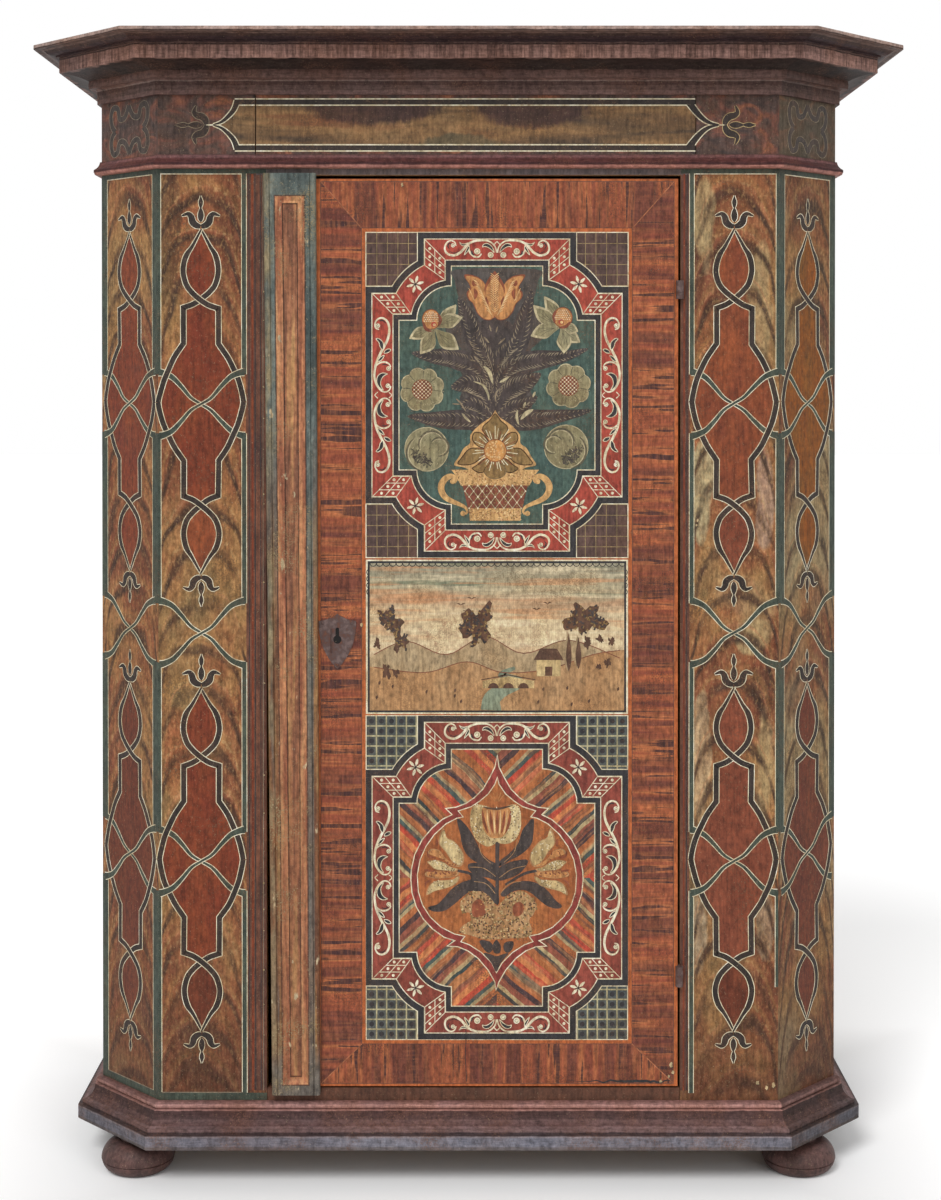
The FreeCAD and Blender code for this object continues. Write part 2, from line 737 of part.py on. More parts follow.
# ---- lock ------------------------------------------------------------------------------------
def escutcheon():
    """Shield-shaped iron plate with a keyhole and a guard rib beside it."""
    shoulder, peak = keyhole_z + plate_shoulder, keyhole_z + plate_peak
    tip, belly = keyhole_z - plate_tip, keyhole_z - plate_belly_z
    rear_y, face_y = door_front_y, door_front_y - plate_thickness

    def at(x, z):
        return Vector(keyhole_x + x, rear_y, z)

    half = plate_half_width
    saddle_z = (shoulder + peak) / 2 - plate_saddle
    edges = [Part.Arc(at(-half, shoulder), at(-half / 2, saddle_z), at(0, peak)).toShape(),
             Part.Arc(at(0, peak), at(half / 2, saddle_z), at(half, shoulder)).toShape(),
             Part.Arc(at(half, shoulder), at(plate_belly_x, belly), at(0, tip)).toShape(),
             Part.Arc(at(0, tip), at(-plate_belly_x, belly), at(-half, shoulder)).toShape()]
    plate = Part.Face(Part.Wire(edges)).extrude(Vector(0, -plate_thickness, 0))
    rib_x = keyhole_x - rib_offset
    rib_top = keyhole_z + keyhole_slot_top
    rib = [Vector(rib_x - rib_width / 2, face_y, rib_top), Vector(rib_x, face_y - rib_height, rib_top),
           Vector(rib_x + rib_width / 2, face_y, rib_top)]
    rib = Part.Face(Part.makePolygon(rib + rib[:1])).extrude(Vector(0, 0, -rib_length))
    hole = keyhole(0, face_y - OVERRUN, rear_y + OVERRUN)
    plate = plate.fuse(rib).cut(hole)
    for x, z in nail_places():
        plate = plate.cut(cylinder(x, face_y - OVERRUN, z, nail_radius, plate_thickness + 2 * OVERRUN,
                                   Vector(0, 1, 0)))
    return one_solid(plate)


def nail_places():
    """Nails at the two shoulders and the tip of the plate."""
    reach = plate_half_width - nail_inset
    top = keyhole_z + plate_shoulder - nail_inset / 2
    return [(keyhole_x - reach, top), (keyhole_x + reach, top),
            (keyhole_x, keyhole_z - plate_tip + nail_inset)]


def nails():
    """Hand-made nails with low round heads."""
    solids = []
    head_y = door_front_y - plate_thickness
    for x, z in nail_places():
        path = [(0, nail_length), (nail_radius / 2, nail_length), (nail_radius, nail_length / 2),
                (nail_radius, 0), (nail_head_radius, 0),
                (nail_head_radius / 2, -nail_head_height), (0, -nail_head_height)]
        solids.append(turned(path, lambda r, h, x=x, z=z: Vector(x + r, head_y + h, z)))
    return Part.makeCompound(solids)


def nail_holes():
    holes = [cylinder(x, door_front_y - OVERRUN, z, nail_radius, nail_length, Vector(0, 1, 0))
             for x, z in nail_places()]
    return holes[0].fuse(holes[1:])


def bolt_bar(margin, x_left, x_right, height):
    """Bar of the bolt's thickness at its own level, with a margin all round."""
    middle_y = front_y + bolt_depth
    half_y, half_z = bolt_thickness / 2 + margin, height / 2 + margin
    return box(x_left, middle_y - half_y, bolt_axis_z - half_z, x_right, middle_y + half_y,
               bolt_axis_z + half_z)


def lock_case():
    """Iron lock box on the door's back, open towards the wood, with a guide for the bolt's tail."""
    z_low, z_high = keyhole_z - lock_height / 2, keyhole_z + lock_height / 2
    rear_y = door_back_y + lock_depth
    x_high = lock_left + lock_length
    shell = box(lock_left, door_back_y, z_low, x_high, rear_y, z_high)
    shell = shell.cut(box(lock_left + lock_wall, door_back_y - OVERRUN, z_low + lock_wall,
                          x_high - lock_wall, rear_y - lock_wall, z_high - lock_wall))
    guide_x = lock_left + bolt_setback + bolt_head_length + guide_x_from_head
    guide = box(guide_x, door_back_y, z_low + lock_wall / 2, guide_x + guide_thickness,
                rear_y - lock_wall / 2, z_high - lock_wall / 2)
    mouth = bolt_bar(bolt_clearance, lock_left - OVERRUN, lock_left + lock_wall + OVERRUN,
                     bolt_head_height)
    eye = bolt_bar(bolt_clearance, guide_x - OVERRUN, guide_x + guide_thickness + OVERRUN,
                   bolt_tail_height)
    return one_solid(shell.fuse(guide).cut([mouth, eye]))


def lock_bolt():
    """Sliding bolt: a rounded head and a tail with a notch for the key's bit."""
    head_left = lock_left + bolt_setback
    head = bolt_bar(0, head_left, head_left + bolt_head_length, bolt_head_height)
    tail_right = head_left + bolt_head_length + bolt_tail_length
    tail = bolt_bar(0, head_left + bolt_head_length, tail_right, bolt_tail_height)
    head = ease(head, 2.0, lambda middle, run: middle.x < head_left + 1 and abs(run.y) > 1)
    notch_radius = bolt_tail_height / 2
    notch = cylinder(tail_right - bolt_tail_height, front_y, bolt_axis_z - bolt_tail_height / 2,
                     notch_radius / 2, bolt_depth * 2, Vector(0, 1, 0))
    return one_solid(head.fuse(tail).cut(notch))


def lock_keep():
    """Iron keep on the back of the left stile: two legs, a strap behind them, and nailing feet."""
    x_high = stile_left_edge - keep_edge_inset
    x_low = lock_left + bolt_setback - bolt_travel - keep_end_gap
    inner = bolt_head_height / 2 + keep_margin
    outer = inner + keep_wall
    strap_y = front_y + bolt_depth + bolt_thickness / 2 + keep_margin
    hull = box(x_low, frame_back_y, bolt_axis_z - outer, x_high, strap_y + keep_strap, bolt_axis_z + outer)
    feet = box(x_low, frame_back_y, bolt_axis_z - outer - keep_foot, x_high,
               frame_back_y + keep_strap, bolt_axis_z + outer + keep_foot)
    room = box(x_low - OVERRUN, frame_back_y - OVERRUN, bolt_axis_z - inner,
               x_high + OVERRUN, strap_y, bolt_axis_z + inner)
    return one_solid(hull.fuse(feet).cut(room))


# ---- all parts -------------------------------------------------------------------------------
def all_parts():
    parts = {name: foot(*place) for name, place in foot_places().items()}
    parts.update(base_parts())
    parts.update(front_frame())
    parts.update(case_boards())
    parts["back_boards"] = back_boards()
    parts["floor_board"] = floor_board()
    parts["top_board"] = top_board()
    for i, run in enumerate(RUNS):
        parts["string_" + run] = moulding(i, string_section())
        parts["bed_" + run] = moulding(i, bed_section())
        parts["crown_" + run] = moulding(i, crown_section())
    parts.update(inside_parts())
    parts.update(hinge_parts())
    parts.update(door_parts())
    parts["door_board_left"] = one_solid(parts["door_board_left"].cut(nail_holes()))
    parts["closing_strip"] = closing_strip()
    parts["escutcheon"] = escutcheon()
    parts["escutcheon_nails"] = nails()
    parts["lock_case"] = lock_case()
    parts["lock_bolt"] = lock_bolt()
    parts["lock_keep"] = lock_keep()
    return parts


os.makedirs("parts", exist_ok=True)
for node, shape in all_parts().items():
    shape.exportStep(os.path.join("parts", node + ".step"))
    print("%-22s solids %d  volume %10.0f mm3  valid %s"
          % (node, len(shape.Solids), shape.Volume, shape.isValid()))
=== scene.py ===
"""Painted Alpine wardrobe: its finishes, its painted ornament, the camera and the light.

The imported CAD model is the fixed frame. Every CAD piece keeps its shape and gets a node material
here. The painted ornament is thin closed films of paint that lie on the boards and ride with them.
Film sizes are millimetres on the face that carries them; u runs to the right and v runs up.
"""
import math

import bpy
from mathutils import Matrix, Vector, noise


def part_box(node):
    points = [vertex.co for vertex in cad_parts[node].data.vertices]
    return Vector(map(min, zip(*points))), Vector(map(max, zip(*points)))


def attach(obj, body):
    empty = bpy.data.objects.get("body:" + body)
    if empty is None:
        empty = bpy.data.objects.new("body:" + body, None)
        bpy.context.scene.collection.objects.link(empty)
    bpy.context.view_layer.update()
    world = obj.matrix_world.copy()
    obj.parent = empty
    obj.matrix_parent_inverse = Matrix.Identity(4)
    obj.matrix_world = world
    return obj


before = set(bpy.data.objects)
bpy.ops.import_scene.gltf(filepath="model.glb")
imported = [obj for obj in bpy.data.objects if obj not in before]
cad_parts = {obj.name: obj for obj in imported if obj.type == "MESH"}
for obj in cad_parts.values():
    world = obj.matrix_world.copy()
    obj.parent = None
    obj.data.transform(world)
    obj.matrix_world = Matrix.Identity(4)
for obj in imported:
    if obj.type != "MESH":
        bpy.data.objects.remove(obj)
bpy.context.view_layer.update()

MM = 0.001                     # metres in a millimetre
ACROSS, INWARD, UP = (1.0, 0.0, 0.0), (0.0, 1.0, 0.0), (0.0, 0.0, 1.0)
FORWARD = (0.0, -1.0, 0.0)
EVEN = (1.0, 1.0, 1.0)         # a noise that isn't stretched
WHITE = (1.0, 1.0, 1.0, 1.0)


def box_in_mm(name):
    """The low and the high corner of a CAD piece."""
    return [[value / MM for value in corner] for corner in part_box(name)]


# ---------------------------------------------------------------- places taken from the frame, mm
STILE = box_in_mm("stile_left")
DOOR_LEFT = box_in_mm("door_board_left")
STRIP = box_in_mm("closing_strip")
CASE_BACK = box_in_mm("back_boards")[1][1]
DOOR_EDGE = box_in_mm("door_board_right")[1][0]

FRONT_Y = STILE[0][1]          # front face of the stiles and the frieze
FRONT_HALF = -STILE[0][0]      # half the flat of the front, to the corner of the cant
CANT = 115.0                   # each leg of the 45 degree corner
CANT_WIDTH = CANT * math.sqrt(2.0)
BODY_BOTTOM = 131.0            # top of the base moulding
BODY_TOP = 1683.0              # underside of the string bead
SEAM_LEFT, SEAM_RIGHT = -353.6, 377.4   # seams of the frieze rail with the stiles
SEAM_HALF = 1.0                # half an open seam, with a little to spare
LEFT, RIGHT = -1.0, 1.0        # the two sides of the front, as the sign of X
STILE_MIDDLES = {LEFT: -444.5, RIGHT: 441.5}    # middle of each stile's ornament
STRIP_LEFT = -326.3            # left edge of the closing strip at its foot; it leans left going up
STRIP_INSET = 19.0             # from the strip's edges to its sunk panel
KEYHOLE = (-218.0, 900.0)      # place of the keyhole on the door
DOOR_Y = DOOR_LEFT[0][1]
DOOR_BOTTOM, DOOR_TOP = DOOR_LEFT[0][2], DOOR_LEFT[1][2]

# ---------------------------------------------------------------- paint film
LAYER = 0.05                   # mm that each coat stands above the one below
STAGGER = 0.004                # mm between strokes of one coat, so that crossing strokes don't coincide
STAGGER_STEPS = 12             # strokes until the stagger starts again
BURIED = 0.05                  # mm that a film reaches into the board
CREAM_EDGE = 1.2               # mm of cream line on each side of a band


def linear(code):
    """The linear colour of a six-digit sRGB code."""
    channels = [int(code[i:i + 2], 16) / 255.0 for i in (0, 2, 4)]
    return tuple(c / 12.92 if c <= 0.04045 else ((c + 0.055) / 1.055) ** 2.4 for c in channels) + (1.0,)


class Face:
    """A flat painted surface: u runs along it, v up it, and h stands off it, in mm."""

    def __init__(self, origin, along):
        self.origin, self.up = Vector(origin), Vector(UP)
        self.along = Vector(along).normalized()
        self.out = self.along.cross(self.up)

    def at(self, u, v, h):
        return (self.origin + self.along * u + self.up * v + self.out * h) * MM


FRONT = Face((0.0, FRONT_Y, 0.0), ACROSS)
DOOR = Face((0.0, DOOR_Y, 0.0), ACROSS)
CANT_LEFT = Face((-FRONT_HALF - CANT, FRONT_Y + CANT, 0.0), (1.0, -1.0, 0.0))
CANT_RIGHT = Face((FRONT_HALF, FRONT_Y, 0.0), (1.0, 1.0, 0.0))
SIDE_LEFT = Face((-FRONT_HALF - CANT, 0.0, 0.0), FORWARD)
SIDE_RIGHT = Face((FRONT_HALF + CANT, 0.0, 0.0), INWARD)


def smooth(points, steps=8):
    """A smooth open line through the points (Catmull-Rom)."""
    ends = [points[0]] + list(points) + [points[-1]]
    line = []
    for a, b, c, d in zip(ends, ends[1:], ends[2:], ends[3:]):
        for step in range(steps):
            t = step / steps
            line.append(tuple(
                0.5 * (2 * b[k] + (c[k] - a[k]) * t + (2 * a[k] - 5 * b[k] + 4 * c[k] - d[k]) * t * t
                       + (3 * b[k] - a[k] - 3 * c[k] + d[k]) * t ** 3) for k in (0, 1)))
    return line + [tuple(points[-1])]


def rounded(points, steps=4):
    """A smooth closed outline through the points."""
    looped = [points[-1]] + list(points) + [points[0], points[1]]
    return smooth(looped, steps)[steps:steps * (len(points) + 1)]


def polar(angle, reach, centre=(0.0, 0.0), tall=None):
    """The point at an angle, in radians, and a reach from a centre; tall is the upright reach."""
    tall = reach if tall is None else tall
    return (centre[0] + reach * math.cos(angle), centre[1] + tall * math.sin(angle))


def arc(centre, radius, start, end, steps=12):
    """Points on an arc between two angles in degrees."""
    return [polar(math.radians(start + (end - start) * i / steps), radius, centre) for i in range(steps + 1)]


def shifted(path, du=0.0, dv=0.0, flip_u=False, flip_v=False, size=1.0, turn=0.0):
    """The path mirrored, scaled, turned by degrees and moved."""
    c, s = math.cos(math.radians(turn)), math.sin(math.radians(turn))
    moved = []
    for u, v in path:
        u = (-u if flip_u else u) * size
        v = (-v if flip_v else v) * size
        moved.append((u * c - v * s + du, u * s + v * c + dv))
    return moved


def hand(path, sway=0.5, reach=45.0, seed=0.0):
    """The path as an unsteady hand draws it; its sway depends on the place on the face."""
    return [(u + sway * noise.noise(Vector((u / reach, v / reach, seed))),
             v + sway * noise.noise(Vector((v / reach, u / reach, seed + 7.3)))) for u, v in path]


def bowed(base, tip, bend=0.0, steps=12):
    """A curved line from base to tip; bend is its bulge to the left as a share of its length."""
    (u0, v0), (u1, v1) = base, tip
    bulge = (0.5 * (u0 + u1) - bend * (v1 - v0), 0.5 * (v0 + v1) + bend * (u1 - u0))
    knots = ((u0, v0), bulge, bulge, (u1, v1))
    line = []
    for i in range(steps + 1):
        t = i / steps
        weights = ((1 - t) ** 3, 3 * t * (1 - t) ** 2, 3 * t * t * (1 - t), t ** 3)
        line.append(tuple(sum(w * k[axis] for w, k in zip(weights, knots)) for axis in (0, 1)))
    return line


def blade(width, fullest=0.5, blunt=0.4):
    """A width that grows from nothing and narrows again, for petals and leaves."""
    power = math.log(0.5) / math.log(fullest)
    return lambda t: blunt + width * math.sin(math.pi * min(max(t, 0.0), 1.0) ** power) ** 0.85


def swelling(start, end, swell):
    """A width that changes evenly from start to end, with a swelling between."""
    return lambda t: start + (end - start) * t + 0.9 * swell * math.sin(math.pi * t) ** 2


def scatter(i, seed):
    """A share between 0 and 1 that jumps about from one number to the next."""
    return (math.sin(12.9898 * i + 78.233 * (seed + 1.0)) * 43758.5453) % 1.0


def clamped(value, reach):
    """The value, kept within a reach on both sides of 0."""
    return max(-reach, min(reach, value))


def inside(u, v, outline):
    """Whether a point lies inside an outline."""
    odd = False
    for (ua, va), (ub, vb) in zip(outline, outline[1:] + outline[:1]):
        if (va > v) != (vb > v) and u < ua + (v - va) * (ub - ua) / (vb - va):
            odd = not odd
    return odd


def placed(name, data):
    """A new object of the scene."""
    piece = bpy.data.objects.new(name, data)
    bpy.context.scene.collection.objects.link(piece)
    return piece


class Film:
    """Brushwork of one colour on one body, as thin closed shells."""

    every = []

    def __init__(self, name, body, slot, material):
        self.name, self.body, self.slot, self.material = name, body, slot, material
        self.points, self.faces = [], []
        self.strokes = 0
        Film.every.append(self)

    def height(self, level):
        """Height of the next stroke's top over the face, in mm."""
        self.strokes += 1
        return level * LAYER + STAGGER * (self.strokes % STAGGER_STEPS)

    def shell(self, face, lower, upper, height):
        """A closed slab over a strip that runs between two lines of equal length."""
        base, count = len(self.points), len(lower)
        for h in (-BURIED, height):
            self.points += [face.at(u, v, h) for u, v in lower + upper]
        low, high = base, base + 2 * count
        for i in range(count - 1):
            a, b, c, d = i, i + 1, count + i + 1, count + i
            self.faces += [(high + a, high + b, high + c, high + d), (low + d, low + c, low + b, low + a),
                           (low + a, low + b, high + b, high + a), (low + c, low + d, high + d, high + c)]
        last = count - 1
        self.faces += [(low + count, low, high, high + count),
                       (low + last, low + count + last, high + count + last, high + last)]

    def fill(self, face, outline, level):
        """A filled shape with any outline that doesn't cross itself."""
        area = sum(a[0] * b[1] - b[0] * a[1] for a, b in zip(outline, outline[1:] + outline[:1]))
        if area < 0:
            outline = outline[::-1]
        base, count = len(self.points), len(outline)
        for h in (-BURIED, self.height(level)):
            self.points += [face.at(u, v, h) for u, v in outline]
        self.faces.append(tuple(base + count + i for i in range(count)))
        self.faces.append(tuple(base + i for i in reversed(range(count))))
        for i in range(count):
            j = (i + 1) % count
            self.faces.append((base + i, base + j, base + count + j, base + count + i))

    def stroke(self, face, path, width, level):
        """A line of the given width, or of a width that changes with the share of its length."""
        path = [p for i, p in enumerate(path) if i == 0 or math.dist(p, path[i - 1]) > 1e-4]
        lower, upper = [], []
        last = len(path) - 1
        for i, (u, v) in enumerate(path):
            before, after = path[max(i - 1, 0)], path[min(i + 1, last)]
            back = Vector((u - before[0], v - before[1]))
            ahead = Vector((after[0] - u, after[1] - v))
            back = back.normalized() if back.length else ahead.normalized()
            ahead = ahead.normalized() if ahead.length else back
            middle = back + ahead
            middle = middle.normalized() if middle.length > 1e-3 else ahead
            spread = 1.0 / max(middle.dot(ahead), 0.45)
            half = 0.5 * (width(i / last) if callable(width) else width) * spread
            lower.append((u + middle.y * half, v - middle.x * half))
            upper.append((u - middle.y * half, v + middle.x * half))
        self.shell(face, lower, upper, self.height(level))

    def build(self):
        mesh = bpy.data.meshes.new(self.name)
        mesh.from_pydata([tuple(p) for p in self.points], [], self.faces)
        mesh.materials.append(self.material)
        piece = placed(self.name, mesh)
        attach(piece, self.body)


class Brush:
    """Paints with one body's films on one face; shapes are placed round its middle."""

    def __init__(self, films, face, middle=(0.0, 0.0), flip=False):
        self.films, self.face, self.middle, self.flip = films, face, middle, flip

    def on(self, face):
        """The same films on another face."""
        return Brush(self.films, face)

    def at(self, middle, flip=False):
        """The same films round another middle, given from this one; flip mirrors left and right."""
        return Brush(self.films, self.face, self.put([middle])[0], flip)

    def put(self, path):
        """Where a path lies on the face."""
        return shifted(path, *self.middle, flip_u=self.flip)

    def fill(self, colour, outline, level):
        self.films[colour].fill(self.face, self.put(outline), level)

    def rect(self, colour, u0, u1, v0, v1, level):
        self.fill(colour, [(u0, v0), (u1, v0), (u1, v1), (u0, v1)], level)

    def spot(self, colour, centre, radius, level, sides=10):
        outline = arc(self.put([centre])[0], radius, 0.0, 360.0 - 360.0 / sides, sides - 1)
        self.films[colour].fill(self.face, outline, level)

    def stroke(self, colour, path, width, level):
        self.films[colour].stroke(self.face, self.put(path), width, level)

    def ring(self, colour, outline, width, level):
        """A closed line round an outline."""
        middle = 0.5 * (Vector(outline[0]) + Vector(outline[1]))
        start = (middle.x, middle.y)
        self.stroke(colour, [start] + outline[1:] + [outline[0], start], width, level)

    def banded(self, colour, path, width, level, edge=CREAM_EDGE, line="cream"):
        """A strap with a thin line along both edges."""
        wide = (lambda t: width(t) + 2.0 * edge) if callable(width) else width + 2.0 * edge
        self.stroke(line, path, wide, level)
        self.stroke(colour, path, width, level + 1)

    def speckle(self, colour, outline, count, size, level, seed, holes=()):
        """Dabs scattered inside an outline; their places and slants aren't mirrored."""
        outline, holes = self.put(outline), [self.put(hole) for hole in holes]
        us, vs = [u for u, v in outline], [v for u, v in outline]
        for i in range(count):
            u = min(us) + (max(us) - min(us)) * scatter(i, seed)
            v = min(vs) + (max(vs) - min(vs)) * scatter(i, seed + 11.7)
            if inside(u, v, outline) and not any(inside(u, v, hole) for hole in holes):
                dab = [(u, v), polar(6.28 * ((i * 0.449) % 1.0), size, (u, v))]
                self.films[colour].stroke(self.face, dab, 0.6 * size, level)


# ---------------------------------------------------------------- materials
class Value:
    """A number or colour that changes over a surface, with the arithmetic of the shader nodes."""

    def __init__(self, nodes, socket):
        self.nodes, self.socket = nodes, socket

    def __add__(self, other):
        return self.nodes.math("ADD", self, other)

    def __sub__(self, other):
        return self.nodes.math("SUBTRACT", self, other)

    def __rsub__(self, other):
        return self.nodes.math("SUBTRACT", other, self)

    def __mul__(self, other):
        return self.nodes.math("MULTIPLY", self, other)

    def __truediv__(self, other):
        return self.nodes.math("DIVIDE", self, other)

    def __pow__(self, other):
        return self.nodes.math("POWER", self, other)

    def __abs__(self):
        return self.nodes.math("ABSOLUTE", self)

    def least(self, other):
        return self.nodes.math("MINIMUM", self, other)

    def most(self, other):
        return self.nodes.math("MAXIMUM", self, other)

    def fraction(self):
        return self.nodes.math("FRACT", self)


class Nodes:
    """A node tree while it is put together."""

    def __init__(self, tree):
        self.tree = tree
        tree.nodes.clear()

    def node(self, kind, inputs=None, **settings):
        """A new node; each of its inputs gets a constant or a link."""
        made = self.tree.nodes.new(kind)
        for key, value in settings.items():
            setattr(made, key, value)
        for key, value in (inputs or {}).items():
            if isinstance(value, Value):
                self.tree.links.new(value.socket, made.inputs[key])
            else:
                made.inputs[key].default_value = value
        return made

    def value(self, kind, inputs=None, output=0, **settings):
        """One output of a new node."""
        return Value(self, self.node(kind, inputs, **settings).outputs[output])

    def math(self, operation, *values, clamp=False):
        return self.value("ShaderNodeMath", dict(enumerate(values)), operation=operation, use_clamp=clamp)

    def dot(self, first, second):
        return self.value("ShaderNodeVectorMath", {0: first, 1: second}, "Value", operation="DOT_PRODUCT")

    def step(self, value, start, end, low=0.0, high=1.0):
        """Low below the start, high above the end, and a straight rise between."""
        return self.value("ShaderNodeMapRange", {0: value, 1: start, 2: end, 3: low, 4: high})

    def between(self, value, start, full, still, end):
        """1 from full to still, with a rise before and a fall after."""
        return self.step(value, start, full) * self.step(value, end, still)

    def ramp(self, value, *stops, constant=False):
        """Colours, as sRGB codes or greys, over the value."""
        made = self.node("ShaderNodeValToRGB", {0: value})
        ramp = made.color_ramp
        ramp.interpolation = "CONSTANT" if constant else "LINEAR"
        while len(ramp.elements) < len(stops):
            ramp.elements.new(1.0)
        for element, (position, colour) in zip(ramp.elements, stops):
            element.position = position
            element.color = linear(colour) if isinstance(colour, str) else (colour,) * 3 + (1.0,)
        return Value(self, made.outputs[0])

    def mix(self, share, first, second, blend="MIX"):
        first, second = (linear(c) if isinstance(c, str) else c for c in (first, second))
        return self.value("ShaderNodeMix", {0: share, 6: first, 7: second}, 2, data_type="RGBA",
                          blend_type=blend)


class Finish(Nodes):
    """A node material while it is put together; places are metres on the object."""

    def __init__(self, name, roughness=0.55, metallic=0.0, shine=0.24):
        self.material = bpy.data.materials.new(name)
        self.material.use_nodes = True
        super().__init__(self.material.node_tree)
        self.shader = self.node("ShaderNodeBsdfPrincipled", {"Roughness": roughness, "Metallic": metallic,
                                                             "Specular IOR Level": shine})
        self.node("ShaderNodeOutputMaterial", {0: Value(self, self.shader.outputs[0])})
        surface = self.node("ShaderNodeTexCoord")
        self.place, self.facing = (Value(self, surface.outputs[key]) for key in ("Object", "Normal"))

    def feed(self, name, value):
        """Link a value to one of the shader's inputs."""
        self.tree.links.new(value.socket, self.shader.inputs[name])

    def bump(self, height, distance, strength):
        self.feed("Normal", self.value("ShaderNodeBump", {"Height": height, "Distance": distance,
                                                          "Strength": strength}))

    def along(self, direction, offset=0.0):
        """Distance along a direction, less an offset, in metres."""
        return self.dot(self.place, direction) - offset

    def noise(self, scale, detail=4.0, stretch=EVEN, offset=0.0, distortion=0.0, place=None, roughness=0.55):
        mapped = self.value("ShaderNodeMapping", {"Vector": place or self.place, "Scale": stretch,
                                                  "Location": (offset, offset * 0.7, offset * 1.3)})
        return self.value("ShaderNodeTexNoise", {"Vector": mapped, "Scale": scale, "Detail": detail,
                                                 "Distortion": distortion, "Roughness": roughness}, "Fac")

    def dabs(self, colour, code, share, start, end, *noise_settings, **more):
        """The colour with a share of another one wherever a noise rises from start to end."""
        return self.mix(self.step(self.noise(*noise_settings, **more), start, end) * share, colour, code)

    def aged(self, colour, worn="5a4030", amount=0.5, seed=0.0, grain=(28.0, 28.0, 2.4), veins=0.32):
        """Old paint over softwood: grain, rubbed places, specks and dirt, with a low satin gloss."""
        grain_lines = self.noise(9.0, 6.0, grain, seed)
        cloud = self.noise(14.0, 5.0, offset=seed + 3.0)
        mottle = self.noise(150.0, 5.0, (1.0, 1.0, 0.6), seed + 8.0, roughness=0.7)
        speck = self.noise(420.0, 3.0, offset=seed + 5.0)
        colour = self.mix(self.step(grain_lines, 0.44, 0.66) * veins, colour, "2b1e1a", "MULTIPLY")
        colour = self.mix(self.step(cloud, 0.35, 0.7) * 0.25, colour, "e0bd92", "SOFT_LIGHT")
        tone = self.ramp(mottle, (0.32, 0.16), (0.5, 0.52), (0.68, 0.86))
        colour = self.mix(0.62, colour, tone, "OVERLAY")
        rubbed = self.step(cloud, 0.50, 0.64) * self.step(speck, 0.48, 0.60)
        colour = self.mix(rubbed * amount, colour, worn)
        colour = self.mix(self.step(speck, 0.65, 0.71) * (0.45 * amount), colour, "cbb694")
        self.feed("Base Color", colour)
        self.feed("Roughness", cloud * 0.25 + 0.42)
        self.bump(grain_lines * 0.6 + mottle * 0.4, 0.0006, 0.6)
        return self.material


def plain_paint(name, code, variety, seed=0.0, amount=0.5, worn="5a4030"):
    """One colour of old paint, brushed a little unevenly."""
    finish = Finish(name)
    brushed = finish.noise(30.0, 4.0, (1.0, 1.0, 0.35), seed + 11.0)
    return finish.aged(finish.mix(finish.step(brushed, 0.35, 0.68), code, variety), worn, amount, seed)


GRAIN_RUNS = {"z": (2.4, 2.4, 0.22), "x": (0.22, 2.4, 2.4), "y": (2.4, 0.22, 2.4)}


def spruce(finish, seed, along="z"):
    """Colour of bare old spruce: long growth rings, fine fibre and a few knots."""
    run = Vector(GRAIN_RUNS[along])
    rings = finish.noise(1.5, 2.0, run, seed) * 26.0
    wood = finish.ramp(rings.fraction(), (0.0, "b08c5e"), (0.55, "a47f52"), (0.88, "86633f"), (1.0, "b08c5e"))
    wood = finish.dabs(wood, "7c5d40", 0.45, 0.42, 0.66, 30.0, 4.0, run * 3.0, seed + 3.0)
    wood = finish.dabs(wood, "8f7350", 0.4, 0.40, 0.64, 0.9, 2.0, run * 2.0, seed + 5.0)
    knots = finish.value("ShaderNodeTexVoronoi", {"Vector": finish.place, "Scale": 2.3}, "Distance")
    return finish.mix(finish.step(knots, 0.036, 0.022) * 0.8, wood, "4f3422")


def skin_of(finish, outward, reach, colour, seed, both_sides=False):
    """The colour on the outer face of a board, and bare wood behind it."""
    out = finish.along(outward)
    face = finish.step(abs(out) if both_sides else out, (reach - 1.6) * MM, (reach - 1.2) * MM)
    return finish.mix(face, spruce(finish, seed), colour)


def oval(finish, middle, reach, ragged):
    """1 inside an upright oval on the front, 0 outside, with a ragged edge."""
    across = finish.along(ACROSS, middle[0] * MM) / (reach[0] * MM)
    level = finish.along(UP, middle[1] * MM) / (reach[1] * MM)
    return finish.step(across * across + level * level + ragged * 1.1, 1.75, 1.3)


ARCH_PITCH = 0.082                  # metres from one arch of the marbling to the next


